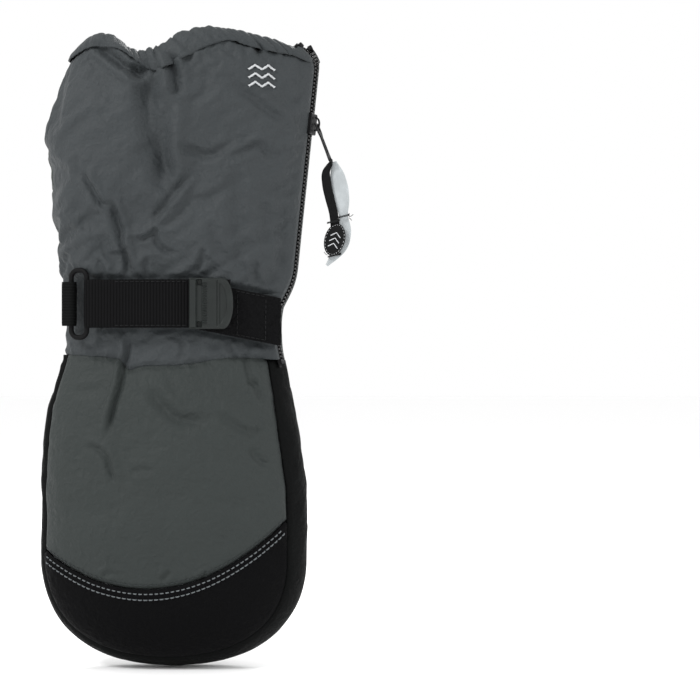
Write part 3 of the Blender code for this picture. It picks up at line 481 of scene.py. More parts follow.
class Nodes:
    """Short ways to add and join a material's nodes."""

    def __init__(self, name):
        self.material = bpy.data.materials.new(name)
        self.material.use_nodes = True
        self.tree = self.material.node_tree
        self.shader = self.tree.nodes["Principled BSDF"]

    def link(self, output, node, socket):
        self.tree.links.new(output, node.inputs[socket])

    def add(self, kind, **settings):
        node = self.tree.nodes.new(kind)
        for key, value in settings.items():
            setattr(node, key, value)
        return node

    def place(self):
        """Where a point is on the object, in metres."""
        return self.add("ShaderNodeTexCoord").outputs["Object"]

    def cloth(self):
        """Where a point is on its cut panel, in metres."""
        return self.add("ShaderNodeUVMap", uv_map="cloth").outputs["UV"]

    def noise(self, place, size, detail=2.0, roughness=0.5):
        node = self.add("ShaderNodeTexNoise")
        self.link(place, node, "Vector")
        node.inputs["Scale"].default_value = 1 / (size * MM)
        node.inputs["Detail"].default_value = detail
        node.inputs["Roughness"].default_value = roughness
        return node.outputs["Fac"]

    def math(self, operation, first, second=None):
        node = self.add("ShaderNodeMath", operation=operation)
        for socket, value in enumerate((first, second)):
            if value is None:
                continue
            if isinstance(value, (int, float)):
                node.inputs[socket].default_value = value
            else:
                self.tree.links.new(value, node.inputs[socket])
        return node.outputs[0]

    def ribs(self, coordinate, pitch):
        """0 to 1 across ribs of this pitch in millimetres."""
        wave = self.math("SINE", self.math("MULTIPLY", coordinate, 2 * math.pi / (pitch * MM)))
        return self.math("ADD", self.math("MULTIPLY", wave, 0.5), 0.5)

    def split(self, place):
        node = self.add("ShaderNodeSeparateXYZ")
        self.link(place, node, "Vector")
        return node.outputs

    def mix(self, share, first, second):
        """A colour between two."""
        node = self.add("ShaderNodeMix", data_type="RGBA")
        self.tree.links.new(share, node.inputs[0])
        for socket, value in ((6, first), (7, second)):
            if isinstance(value, tuple):
                node.inputs[socket].default_value = value
            else:
                self.tree.links.new(value, node.inputs[socket])
        return node.outputs[2]

    def span(self, value, low, high, to_low, to_high):
        node = self.add("ShaderNodeMapRange")
        self.tree.links.new(value, node.inputs[0])
        for socket, number in enumerate((low, high, to_low, to_high), 1):
            node.inputs[socket].default_value = number
        return node.outputs[0]

    def bump(self, height, depth):
        """Bump of this depth in millimetres."""
        node = self.add("ShaderNodeBump")
        node.inputs["Strength"].default_value = 1.0
        node.inputs["Distance"].default_value = depth * MM
        self.link(height, node, "Height")
        return node.outputs["Normal"]

    def finish(self, colour=None, roughness=None, normal=None, **fixed):
        for socket, value in (("Base Color", colour), ("Roughness", roughness), ("Normal", normal)):
            if value is None:
                continue
            if isinstance(value, (tuple, float)):
                self.shader.inputs[socket].default_value = value
            else:
                self.link(value, self.shader, socket)
        for name, value in fixed.items():
            self.shader.inputs[name.replace("_", " ")].default_value = value
        return self.material


def shade(colour, factor):
    """A colour made darker or lighter."""
    return (*(channel * factor for channel in colour[:3]), 1.0)


def woven(name, colour, painted_relief_shade=0.10, sheen=0.05, gloss=0.25):
    """Plain-woven nylon: fine crossing threads, faint slubs and a soft sheen."""
    pitch, depth, slub, crinkle = 0.55, 0.06, 0.5, 32.0
    nodes = Nodes(name)
    u, v, _ = nodes.split(nodes.cloth())
    over = nodes.math("MULTIPLY", nodes.ribs(u, pitch), nodes.ribs(v, pitch))
    grain = nodes.noise(nodes.place(), 0.9, 3.0)
    blotch = nodes.noise(nodes.place(), 24.0, 3.0)
    # The threads are painted lighter where they cross over and darker in the low spots between them, in step with
    # the bump below: painted shade of the weave.
    thread = nodes.mix(over, shade(colour, 1 - painted_relief_shade), shade(colour, 1 + painted_relief_shade))
    varied = nodes.mix(nodes.span(blotch, 0.35, 0.7, 0.0, 1.0), shade(colour, 0.94), shade(colour, 1.07))
    final = nodes.mix(nodes.span(grain, 0.3, 0.7, 0.25, 0.75), thread, varied)
    crumple = nodes.math("ABSOLUTE", nodes.math("SUBTRACT", nodes.noise(nodes.place(), 6.0, 3.0), 0.5))
    height = nodes.math("ADD", over, nodes.math("MULTIPLY", grain, slub))
    height = nodes.math("ADD", height, nodes.math("MULTIPLY", crumple, -crinkle))
    normal = nodes.bump(height, depth)
    rough = nodes.span(grain, 0.2, 0.8, 0.52, 0.72)
    return nodes.finish(final, rough, normal, Sheen_Weight=sheen, Sheen_Roughness=0.45,
                        Specular_IOR_Level=gloss)


def ribbed(name, colour, pitch, depth=0.25, along="v", painted_relief_shade=0.35, gloss=0.12):
    """A fabric or webbing with raised ribs and fine threads across them."""
    nodes = Nodes(name)
    u, v, _ = nodes.split(nodes.cloth())
    main, cross = (v, u) if along == "v" else (u, v)
    rib = nodes.ribs(main, pitch)
    threads = nodes.ribs(cross, pitch * 0.32)
    grain = nodes.noise(nodes.place(), 0.7, 3.0)
    # Painted shade of the ribs: darker in their valleys and lighter on their tops, in step with the bump below. The
    # lighter flecks from the grain laid over that are dust.
    tone = nodes.mix(rib, shade(colour, 1 - painted_relief_shade), shade(colour, 1 + painted_relief_shade))
    dust_and_rib_shade = nodes.mix(nodes.span(grain, 0.4, 0.75, 0.0, 0.5), tone, shade(colour, 1.35))
    height = nodes.math("ADD", rib, nodes.math("MULTIPLY", threads, 0.35))
    height = nodes.math("ADD", height, nodes.math("MULTIPLY", grain, 0.25))
    return nodes.finish(dust_and_rib_shade, 0.72, nodes.bump(height, depth), Specular_IOR_Level=gloss)


def plastic(name, colour, rough, grain_depth=0.03, gloss=0.5):
    """Moulded resin or film, with a fine grain and a little wear."""
    nodes = Nodes(name)
    grain = nodes.noise(nodes.place(), 0.5, 2.0)
    wear = nodes.noise(nodes.place(), 6.0, 3.0)
    tone = nodes.mix(nodes.span(wear, 0.4, 0.7, 0.0, 1.0), shade(colour, 0.92), shade(colour, 1.12))
    roughness = nodes.span(wear, 0.3, 0.75, rough - 0.05, rough + 0.12)
    return nodes.finish(tone, roughness, nodes.bump(grain, grain_depth), Specular_IOR_Level=gloss)


def enamel(name, colour, bare, metallic, rough, gloss):
    """Painted die-cast metal, rubbed brighter where its edges are."""
    nodes = Nodes(name)
    edge = nodes.add("ShaderNodeNewGeometry").outputs["Pointiness"]
    scratch = nodes.noise(nodes.place(), 1.5, 4.0)
    rubbed = nodes.math("MULTIPLY", nodes.span(edge, 0.52, 0.62, 0.0, 1.0), scratch)
    tone = nodes.mix(rubbed, colour, bare)
    roughness = nodes.span(scratch, 0.3, 0.7, rough - 0.06, rough + 0.12)
    return nodes.finish(tone, roughness, nodes.bump(scratch, 0.02), Metallic=metallic,
                        Specular_IOR_Level=gloss)


def fluffy(name, colour, size=0.9, depth=0.4):
    """Fleece, wadding or the hooks and loops of a fastener."""
    nodes = Nodes(name)
    tuft = nodes.noise(nodes.place(), size, 4.0, 0.7)
    clump = nodes.noise(nodes.place(), size * 5, 3.0)
    # Painted shade and highlight of the pile: darker where the tufts are low and lighter where they stand high, in
    # step with the bump below.
    tone = nodes.mix(nodes.span(tuft, 0.3, 0.7, 0.0, 1.0), shade(colour, 0.6), shade(colour, 1.5))
    height = nodes.math("ADD", tuft, nodes.math("MULTIPLY", clump, 0.8))
    return nodes.finish(tone, 0.95, nodes.bump(height, depth), Specular_IOR_Level=0.08)


def smooth_thread(name, colour):
    """Sewing thread, with a faint twist."""
    nodes = Nodes(name)
    twist = nodes.noise(nodes.place(), 0.3, 2.0)
    # Painted shade of the twist: darker in its grooves and lighter on its ridges, in step with the bump below.
    tone = nodes.mix(twist, shade(colour, 0.75), shade(colour, 1.2))
    return nodes.finish(tone, 0.6, nodes.bump(twist, 0.04), Specular_IOR_Level=0.2)


GREY = woven("grey_nylon", srgb(47, 51, 53))
HAND_GREY = woven("hand_nylon", srgb(39, 44, 43))
PALM_GREY = woven("palm_nylon", srgb(47, 52, 50))
BLACK = woven("black_nylon", srgb(8, 9, 9), painted_relief_shade=0.2, sheen=0.0, gloss=0.06)
CAP_BLACK = woven("cap_nylon", srgb(6, 6, 7), painted_relief_shade=0.2, sheen=0.0, gloss=0.05)
GRIP = ribbed("grip_fabric", srgb(9, 10, 10), 1.1, depth=0.3, painted_relief_shade=0.45, gloss=0.08)
INNER_RIB = ribbed("ribbed_inner_thumb", srgb(12, 13, 13), 1.7, depth=0.35, painted_relief_shade=0.4, gloss=0.1)
WEBBING = ribbed("strap_webbing", srgb(9, 9, 10), 1.6, depth=0.1, along="u", painted_relief_shade=0.6, gloss=0.06)
KEEPER = ribbed("keeper_webbing", srgb(9, 10, 10), 1.5, depth=0.1, painted_relief_shade=0.5, gloss=0.06)
TAPE = ribbed("zip_tape_weave", srgb(12, 12, 13), 0.8, depth=0.12)
LOOPS = fluffy("loop_pile", srgb(12, 12, 13), size=0.7, depth=0.6)
HOOKS = fluffy("hook_pile", srgb(10, 10, 11), size=0.6)
FLEECE = fluffy("fleece_lining", srgb(22, 22, 24), size=1.6, depth=0.8)
WADDING = fluffy("wadding", srgb(200, 200, 196), size=3.0, depth=0.8)
ELASTIC = ribbed("elastic_band", srgb(30, 32, 32), 1.4)
BUCKLE = plastic("buckle_plastic", srgb(6, 6, 7), rough=0.6, gloss=0.12)
TAB = plastic("moulded_tab", srgb(25, 29, 28), rough=0.5, grain_depth=0.05, gloss=0.25)
RUBBER = plastic("moulded_rubber", srgb(7, 7, 8), rough=0.5, gloss=0.14)
REFLECTIVE = plastic("reflective_film", srgb(158, 163, 165), rough=0.35)
MEMBRANE = plastic("membrane_film", srgb(170, 176, 180), rough=0.4)
TEETH = plastic("zip_teeth_resin", srgb(9, 9, 10), rough=0.35, gloss=0.3)
METAL = enamel("dark_zip_metal", srgb(7, 7, 8), srgb(30, 30, 32), metallic=0.0, rough=0.42, gloss=0.12)
THREAD_PALE = smooth_thread("pale_thread", srgb(96, 100, 102))
THREAD_DARK = smooth_thread("dark_thread", srgb(18, 19, 20))
THREAD_GREY = smooth_thread("grey_thread", srgb(50, 54, 55))
THREAD_WHITE = smooth_thread("white_thread", srgb(186, 188, 190))


# ---- The sewn body ----
def back_share(y, blur=8.0):
    """1 on the back of the hand, 0 on the palm."""
    return soft_step(0.5 - y / (2 * blur))


def along_x(x, knots):
    """A smooth line through a few places: x and height."""
    path = curve_through(knots, 8 * len(knots))
    return np.interp(x, path[:, 0], path[:, 1])


def seam_line(back, palm):
    """A seam's height by x and y, through places (x and height) on the back and on the palm."""
    def height(x, y):
        share = back_share(y)
        return along_x(x, back) * share + along_x(x, palm) * (1 - share)
    return height


hem_top = seam_line(
    ((-52, -3), (-46, 1.4), (-39, 3.2), (-32, 2.6), (-26, 0), (-18, -5), (-9, -6.2), (-2, -4.4), (5, -0.8),
     (12, 2.2), (20, 4.6), (27, 5.6), (35, 4.6), (45, 2.8), (54, 1), (62, -0.6), (72, -1)),
    ((-52, -2), (-45, -4), (-34, -4.5), (-25, -8), (-15, -7), (-6, -5), (5, -4), (16, -1), (25, 2.5),
     (33, 3.6), (43, 4), (54, 3), (72, 0)))
hem_stitch = seam_line(
    ((-52, -9), (-44, -4.4), (-37, -3.4), (-26, -6.4), (-18, -11.5), (-12, -15.6), (-5, -17), (2, -12.4),
     (11, -6.6), (18, -3.8), (28, -1.2), (37, -4), (48, -6.6), (60, -8), (72, -9)),
    ((-52, -9), (-40, -11), (-28, -13), (-15, -14.5), (3, -11.5), (15, -10), (26, -5.5), (33, -4.4),
     (45, -7.5), (56, -7), (72, -8)))
wrist_line = seam_line(
    ((-60, -164), (-50, -164.5), (-30, -166), (-26, -168), (-22, -172), (-14, -170), (6, -169.5),
     (30, -166), (52, -166.5), (62, -167)),
    ((-60, -165), (-45, -169), (0, -170.5), (40, -170), (62, -167)))


def edge_relief(distance, sink=1.3, reach=1.7, puff=0.9, rise=9.0):
    """A panel's padding: pulled in at its sewn edge and full away from it."""
    return -(sink + puff) * np.exp(-((distance / reach) ** 2)) * 0.6 - puff * np.exp(-distance / rise) + puff * 0.5


def drawn_relief(points):
    """Folds and unevenness of the body's fabric at points on it."""
    x, y, z = xyz(points)
    flat = pairs(x, z)
    back, palm = soft_step(-y / 7), soft_step(y / 7)
    on_cuff = soft_step((z - WRIST_SEAM - 1) / 5)
    relief = 0.75 * soft_bumps(points)
    for share, folds in ((back * on_cuff, CUFF_BACK_FOLDS), (palm * on_cuff, CUFF_PALM_FOLDS),
                         (back, HAND_BACK_FOLDS), (palm, HAND_PALM_FOLDS)):
        relief = relief + share * add_folds(flat, folds)
    slack = on_cuff * soft_step((-15 - z) / 20)
    diagonal = points @ np.array(((0.8, 0, 0.6), (0, 1, 0), (-0.6, 0, 0.8))).T * np.array((1.0, 1.0, 2.2))
    return relief + slack * (1.3 * value_noise(diagonal, 26.0, 5) + 0.5 * value_noise(diagonal, 11.0, 6))


# ---- Slack fabric, settled by a cloth simulation ----
SLACK_TOP, SLACK_END, SLACK_STEP = -6.0, -284.0, 2.6
SLACK_COLUMNS = 132
SLACK_LIMIT = 5.0
SLACK_GROWTH = 0.034
SLACK_START = 0.8  # the share of the drawn relief that the shell starts with
SLACK_FRAMES = 24
CLOTH_SETTINGS = {
    "quality": 5, "mass": 0.015,
    "tension_stiffness": 30, "compression_stiffness": 30, "shear_stiffness": 10, "bending_stiffness": 0.12,
    "tension_damping": 2, "compression_damping": 2, "shear_damping": 2, "bending_damping": 0.1,
    "air_damping": 1.0,
    "vertex_group_mass": "held", "pin_stiffness": 1.0,
    "shrink_min": -SLACK_GROWTH, "shrink_max": 0.0, "vertex_group_shrink": "taut",
    "use_pressure": True, "uniform_pressure_force": 0.1,
}


def strap_window(points):
    """1 where the strap presses on the back of the cuff."""
    x, y, z = xyz(points)
    middle = STRAP_Z + STRAP_SLOPE * np.maximum(0, x - SLOPE_START)
    return soft_step((16.5 - np.abs(z - middle)) / 4.0) * soft_step((x + 60) / 8) * soft_step(-y / 6)


def settled_share(points):
    """The padded hand shows less of the buckling than the loose cuff."""
    height = points[..., 2]
    return 0.3 + 0.2 * soft_step((height - WRIST_SEAM + 4) / 8) + 0.4 * soft_step((height + 130) / 12)


def held_shares(base, z, angle):
    """How firmly each point of the shell is held, from 0 to 1."""
    _, y, height = xyz(base)
    on_cuff = soft_step((height - WRIST_SEAM) / 6)
    elastic = soft_step((-134 - height) / 4) * soft_step((height + 164) / 4) * soft_step(y / 6)
    near_zip = np.abs(angle_at_y(z, ZIP_Y) - ((angle + math.pi) % (2 * math.pi) - math.pi)) * 40
    seam = soft_step((3.5 - np.abs(height - WRIST_SEAM - 3)) / 2)
    return np.maximum.reduce((
        soft_step((height + 10) / 6), soft_step((-276 - height) / 8), strap_window(base), 0.85 * elastic,
        soft_step((9 - near_zip) / 4) * on_cuff, 0.6 * seam))


def settle_fabric():
    """How far the slack shell moves out of its sewn form, by row and column, after it buckles."""
    z = np.arange(SLACK_TOP, SLACK_END, -SLACK_STEP)[:, None]
    angle = np.linspace(0, 2 * math.pi, SLACK_COLUMNS, endpoint=False)[None]
    base = ring_points(z, angle)
    outward = normals(base)
    drawn = SLACK_START * drawn_relief(base)
    piece = grid_mesh("slack_shell", base + outward * drawn[..., None], thickness=0, closed=True)
    facing(piece, out_of_body)
    taut = 1 - (0.34 + 0.66 * soft_step((base[..., 2] - WRIST_SEAM) / 6))
    for name, weights in (("held", held_shares(base, z, angle)), ("taut", taut)):
        group = piece.vertex_groups.new(name=name)
        for index, weight in enumerate(weights.ravel()):
            group.add([index], float(weight), "REPLACE")
    cloth = piece.modifiers.new("settle", "CLOTH")
    for key, value in CLOTH_SETTINGS.items():
        setattr(cloth.settings, key, value)
    cloth.settings.effector_weights.gravity = 0.0
    cloth.collision_settings.use_collision = False
    cloth.point_cache.frame_end = 30
    scene = bpy.context.scene
    for number in range(1, SLACK_FRAMES + 1):
        scene.frame_set(number)
    shape = piece.evaluated_get(bpy.context.evaluated_depsgraph_get()).to_mesh()
    flat = np.empty(len(shape.vertices) * 3)
    shape.vertices.foreach_get("co", flat)
    settled = flat.reshape(base.shape) / MM
    scene.frame_set(1)
    bpy.data.objects.remove(piece)
    moved = ((settled - base) * outward).sum(axis=-1) - drawn
    return settled_share(base) * SLACK_LIMIT * np.tanh(moved / SLACK_LIMIT)


def body_angle(points):
    """The angle round the body of points on it, from 0 to a full turn."""
    x, y, z = xyz(points)
    middle, half, front, rear = outline(z)
    across = signed_power((x - middle) / half, ROUNDNESS / 2)
    out = signed_power(-y / np.where(y < 0, front, rear), ROUNDNESS / 2)
    return np.arctan2(out, across) % (2 * math.pi)


def cubic_weights(t):
    """The shares of four neighbours in a smooth curve between the middle two."""
    return (0.5 * (-t + 2 * t**2 - t**3), 0.5 * (2 - 5 * t**2 + 3 * t**3),
            0.5 * (t + 4 * t**2 - 3 * t**3), 0.5 * (-(t**2) + t**3))


def slack_relief(points):
    """The settled fabric's relief at points on the body, by smooth interpolation."""
    rows = (SLACK_TOP - points[..., 2]) / SLACK_STEP
    columns = body_angle(points) / (2 * math.pi) * SLACK_COLUMNS
    last = SLACK_FIELD.shape[0] - 1
    rows = np.clip(rows, 0, last - 1e-6)
    row, column = np.floor(rows).astype(int), np.floor(columns).astype(int)
    total = np.zeros(points.shape[:-1])
    for i, down in enumerate(cubic_weights(rows - row)):
        for j, across in enumerate(cubic_weights(columns - column)):
            picked = SLACK_FIELD[np.clip(row + i - 1, 0, last), (column + j - 1) % SLACK_COLUMNS]
            total = total + down * across * picked
    return total * soft_step((points[..., 2] + 284) / 12)


def fabric_relief(points):
    """All that the body's fabric does away from its seams: drawn folds and settled slack."""
    return drawn_relief(points) + slack_relief(points)


def gathers(x, y, coarse, fine, sharp):
    """The hem's pinches, coarse and fine, round the mouth."""
    along = x + 0.35 * y
    return coarse * pinches(along, 5.2, 31, sharp) + fine * pinches(along + 1.7, 3.1, 32, 0.7)


def gather_relief(x, y, z):
    """Pinches below the hem's stitch line, where the casing is drawn up."""
    below = hem_stitch(x, y) - z
    reach = 6 + 4 * value_noise(pairs(x, y), 7.0, 21)
    fade = np.exp(-np.maximum(below, 0) / reach)
    return fade * gather_strength(x, y) * (0.9 + gathers(x, y, 1.7, 0.9, 1.1))


def gather_strength(x, y):
    """How tightly the elastic draws the hem up: least on the back's thumb side."""
    back = 0.25 + 1.0 * soft_step((x + 24) / 8) * soft_step((10 - x) / 6) + 0.2 * soft_step((x - 10) / 6)
    return back * back_share(y) + 0.95 * (1 - back_share(y))


def grid_gaps(points):
    """Each grid point's distance from the left, right, top and bottom edges."""
    left, top = distances(points, 1), distances(points)
    return left, left[:, -1:] - left, top, top[-1:] - top


def cuff_grid(angle_from, angle_to, top, bottom, across, down):
    """Points on the cuff between two side edges and two lines of x and y."""
    share = np.linspace(0, 1, across)[None, :]
    depth = np.linspace(0.0, 1.0, down)[:, None]
    z = -20 - 120 * depth + 0 * share
    for _ in range(3):
        start, end = angle_from(z), angle_to(z)
        angle = start + (end - start) * share
        x, y, _ = xyz(ring_points(z, angle))
        high, low = top(x, y), bottom(x, y)
        z = high + (low - high) * depth
    return ring_points(z, angle)


def raise_points(points, relief):
    return points + normals(points) * relief[..., None]


def fixed(value):
    """A line that stays at one value."""
    return lambda *place: value + 0 * place[0]


FABRIC_EDGE = 2.5
HEM_LEVEL, RIM_LEVEL = np.array(-6.0), -4.0  # heights at which the hem's ends and its plan are taken
TRAVEL_TOP = -15.5  # the slider reaches this height, and the rows part freely above it


def zip_spread(z):
    """How far each open row is from the chain's line above the slider."""
    return 0.4 * soft_step((z - SLIDER_Z) / 8) + 6.6 * soft_step((z - TRAVEL_TOP) / 20)


def zip_gap(z):
    """From the zip's centre to the fabric's edge."""
    return FABRIC_EDGE + zip_spread(z)


def row_levels(side):
    levels = np.arange(ZIP_BOTTOM - 6, 10.0, 1.0)
    rows = [row_place(z, side) for z in levels]
    return levels, [np.array([row[i] for row in rows]) for i in (0, 1, 3)]


def to_zip(points, distance, side, sink=0.0):
    """Fabric that lies flat on the zip's tape at its edge and is free of it further off."""
    levels, tables = row_levels(side)
    spot, across, out = (interpolate(points[..., 2], levels, table) for table in tables)
    fall = 0.55 - (0.1 * distance + 0.7 * np.maximum(0, distance - 1.7) if side > 0 else 0 * distance)
    flat = spot + across * (side * (FABRIC_EDGE + distance))[..., None] + out * (fall - sink)[..., None]
    share = 1 - soft_step((distance - 2.0) / (4.5 if side > 0 else 6.5))
    return points + (flat - points) * share[..., None]


def zip_front(z):
    return angle_at_y(z, ZIP_Y - zip_gap(z) * math.cos(ZIP_TURN))


def zip_rear(z):
    return 2 * math.pi + angle_at_y(z, ZIP_Y + zip_gap(z) * math.cos(ZIP_TURN))


ELASTIC_ROWS = (-134.0, -142.5, -151.5, -160.0, -170.0)  # heights of the wrist's rows of stitching


def wrist_ends(x):
    """1 over the palm side of the wrist, 0 near its side seams."""
    return soft_step((x + 55) / 12) * soft_step((54 - x) / 12)


def shirring(points):
    """The elasticated wrist: little puffs between pinched rows of stitching."""
    x, _, z = xyz(points)
    total = np.zeros_like(x)
    for number, (top, bottom) in enumerate(zip(ELASTIC_ROWS, ELASTIC_ROWS[1:])):
        inside = np.clip((top - z) / (top - bottom), 0, 1)
        swell = np.sin(math.pi * inside) ** 0.8 * ((z <= top) & (z > bottom))
        wander = 1.2 * value_noise(pairs(x, z + 40 * number), 9.0, 41)
        puff = np.abs(np.cos(math.pi * (x + wander + 2.4 * (number % 2)) / 4.8)) ** 0.8
        total = total + swell * (1.5 * puff - 0.3)
    ends = wrist_ends(x)
    return total * ends - 0.6 * ends


def wrist_ripples(points):
    """Ripples that run up into the palm side of the cuff from its elasticated wrist."""
    x, _, z = xyz(points)
    reach = 7 + 9 * value_noise(points * np.array((1.0, 1.0, 0.2)), 8.0, 44)
    fade = np.exp(-np.maximum(z - CUFF_JOIN, 0) / np.maximum(reach, 3)) * np.exp(-np.maximum(CUFF_JOIN - z, 0) / 5)
    return fade * wrist_ends(x) * (0.4 + 1.5 * pinches(x + 0.12 * (z - CUFF_JOIN), 5.4, 45, 1.0))


def build_cuff_panels():
    side, middle = fixed(math.radians(180)), fixed(math.radians(270))
    join = fixed(CUFF_JOIN)
    panels = (  # name, its two sides, its top and bottom, points across and down, fabric and part of the CAD
        ("cuff_back", zip_front, side, hem_stitch, join, 210, 190, GREY, "cuff_back_panel"),
        ("wrist_back", zip_front, side, join, wrist_line, 170, 60, GREY, "wrist_back_panel"),
        ("cuff_palm_thumb_side", side, middle, hem_stitch, join, 120, 190, PALM_GREY,
         "cuff_palm_panel_thumb_side"),
        ("cuff_palm_zip_side", middle, zip_rear, hem_stitch, join, 120, 190, PALM_GREY,
         "cuff_palm_panel_zip_side"),
        ("wrist_palm", side, zip_rear, join, wrist_line, 240, 60, PALM_GREY, "wrist_palm_panel"),
    )
    for name, start, end, top, bottom, across, down, material, node in panels:
        on_back, at_zip = name.endswith("_back"), name != "cuff_palm_thumb_side"
        points = cuff_grid(start, end, top, bottom, across, down)
        left, right, high, low = grid_gaps(points)
        relief = fabric_relief(points)
        if name == "wrist_palm":
            drawn_in = soft_step((CUFF_JOIN - points[..., 2]) / 7)
            relief = (1 - 0.4 * drawn_in) * relief + drawn_in * shirring(points) + wrist_ripples(points)
        else:
            relief = relief + gather_relief(*xyz(points))
        if name.startswith("cuff_palm"):
            relief = relief + wrist_ripples(points)
        gap = np.minimum(left, right)
        if name.startswith("wrist"):
            gap = np.minimum(gap, low)
        else:
            relief = relief + edge_relief(high, sink=0.5, puff=0.2)
        relief = relief + edge_relief(gap)
        if on_back:
            strap = strap_window(points)
            relief = relief * (1 - 0.85 * strap) - 1.3 * strap
        zip_side = left if on_back else right
        if at_zip:
            relief = relief * soft_step(zip_side / 9 + 0.1 if on_back else zip_side / 20)
        raised = raise_points(points, relief)
        if at_zip:
            raised = to_zip(raised, zip_side, -1 if on_back else 1)
        skin(name, raised, material, "shell_grey", node)


def build_hem():
    """The turned casing round the mouth, from its rim down to its stitch line on both sides."""
    count, down = 420, 26
    angle = np.linspace(zip_front(HEM_LEVEL), zip_rear(HEM_LEVEL), count)
    base = ring_points(np.full(count, RIM_LEVEL), angle)
    x, y, _ = xyz(base)
    top, low = hem_top(x, y), hem_stitch(x, y)
    inward = -normals(base)
    crease = gather_strength(x, y) * gathers(x, y, 1.5, 1.1, 1.0)
    top = top + 0.7 * crease + 0.5 * value_noise(pairs(x + 0.35 * y, y), 3.4, 91)
    foot = ring_points(low, angle)
    foot_relief = fabric_relief(foot) + gather_relief(*xyz(foot)) + 0.75
    share_round = np.linspace(0, 1, count)
    depths, rows = [], []
    for share in np.linspace(0, 1, down):
        turn = math.pi * share
        rim = math.sin(turn) ** 0.6
        reach = np.clip((np.abs(2 * share - 1) - 0.1) / 0.9, 0, 1) ** 1.25
        height = top - 1.3 + (low - 0.8 - top + 1.3) * reach + 1.3 * math.sin(turn) ** 6
        depth = 2.1 - 2.1 * math.copysign(abs(math.cos(turn)) ** 0.7, math.cos(turn))
        front = share < 0.5
        swell = 1.0 * math.sin(2 * math.pi * share) if front else 0.0
        shift = depth - swell - crease * (0.8 if front else 0.5) * rim * (0.35 + 0.65 * (1 - reach)) + 0.1
        row_start, row_end = zip_front(height[0]), zip_rear(height[-1])
        point = ring_points(height, row_start + (row_end - row_start) * share_round)
        shift = shift - foot_relief * soft_step(reach)
        rows.append(point + inward * shift[:, None])
        depths.append(np.maximum(shift, 0))
    points, depths = np.array(rows), np.array(depths)
    left, right, _, _ = grid_gaps(points)
    points = to_zip(to_zip(points, left, -1, depths), right, 1, depths)
    skin("hem_casing_gathered", points, GREY, "shell_grey", "hem_casing", thickness=0.7)


def rim_curve(keep_left, keep_tip, keep_right, side, count=400):
    """Points of a seam that runs down the thumb side, round the fingertips and up the other side.

    Each keep is the seam's distance from the middle as a share of the outline's, on that stretch.
    """
    left_top, right_top = (float(wrist_line(np.array(x), np.array(0.0))) for x in (-60.0, 60.0))
    sides = count * 3 // 10
    tip = count - 2 * sides
    z_left = np.linspace(left_top, TIP_START, sides, endpoint=False)
    z_right = np.linspace(TIP_START, right_top, sides + 1)[1:]
    turn = np.linspace(math.pi, 2 * math.pi, tip)
    centre, half, _, _ = outline(np.array(TIP_START))
    keep_low = np.interp(np.linspace(0, 1, tip), (0, 0.5, 1), (keep_left, keep_tip, keep_right))
    middle, width, _, _ = outline(z_left)
    left = pairs(middle - width * keep_left, z_left)
    low = pairs(centre + half * keep_low * signed_power(np.cos(turn), 2 / ROUNDNESS),
                TIP_START + TIP_HEIGHT * keep_low * signed_power(np.sin(turn), 2 / ROUNDNESS))
    middle, width, _, _ = outline(z_right)
    right = pairs(middle + width * keep_right, z_right)
    flat = np.concatenate((left, low, right))
    return flat, face_points(flat[:, 0], flat[:, 1], side)


BACK_RIM, BACK_RIM_3D = rim_curve(0.965, 0.898, 0.862, -1)
PALM_RIM, PALM_RIM_3D = rim_curve(0.858, 0.768, 0.93, 1)


def build_side_gusset():
    """The black strip between back and palm, from one side of the wrist round to the other."""
    across = 34
    y_back, y_palm = BACK_RIM_3D[:, 1], PALM_RIM_3D[:, 1]
    outer, _ = rim_curve(1.0, 1.0, 1.0, 1)
    middle, _, front, rear = outline(outer[:, 1])
    rows = []
    for t in np.linspace(0, 1, across):
        y = y_back + (y_palm - y_back) * t
        depth = np.where(y < 0, front, rear)
        keep = (1 - np.minimum(np.abs(y) / depth, 1) ** ROUNDNESS) ** (1 / ROUNDNESS)
        height = np.where(outer[:, 1] < TIP_START, TIP_START + (outer[:, 1] - TIP_START) * keep, outer[:, 1])
        rows.append(np.stack((middle + (outer[:, 0] - middle) * keep, y, height), axis=-1))
    points = np.array(rows)
    points[0], points[-1] = BACK_RIM_3D, PALM_RIM_3D
    _, _, high, low = grid_gaps(points)
    relief = fabric_relief(points) + edge_relief(np.minimum(high, low), puff=0.6)
    skin("side_gusset_padded", raise_points(points, relief), BLACK, "shell_black", "side_gusset")


def cap_seam(x):
    """The height of the seam between the back panel and the fingertip cap."""
    return -285.8 + 0.0065 * (x + 13.0) ** 2


def yoke_seam(x):
    """The height of the seam between the palm's yoke and its grip patch."""
    return -176.5 - 12.0 * np.maximum(0.0, (x - 7) / 55) ** 2


def resample(path, count):
    """The same path with this many points, at even steps."""
    lengths = distances(path)
    return interpolate(np.linspace(0, lengths[-1], count), lengths, path)


def coons(top, bottom, left, right, across, down):
    """A grid of 2-D points between four edges. Top and bottom run in x, left and right down."""
    top, bottom = resample(top, across), resample(bottom, across)
    left, right = resample(left, down), resample(right, down)
    u = np.linspace(0, 1, across)[None, :, None]
    v = np.linspace(0, 1, down)[:, None, None]
    ruled = (1 - v) * top[None] + v * bottom[None] + (1 - u) * left[:, None] + u * right[:, None]
    corners = ((1 - u) * (1 - v) * top[0] + u * (1 - v) * top[-1]
               + (1 - u) * v * bottom[0] + u * v * bottom[-1])
    return ruled - corners


def rim_crossing(rim, line, from_left):
    """Where a seam crosses the rim, as an index into it, on one side."""
    above = rim[:, 1] > line(rim[:, 0])
    if from_left:
        return int(np.argmin(above))
    return len(rim) - int(np.argmin(above[::-1]))


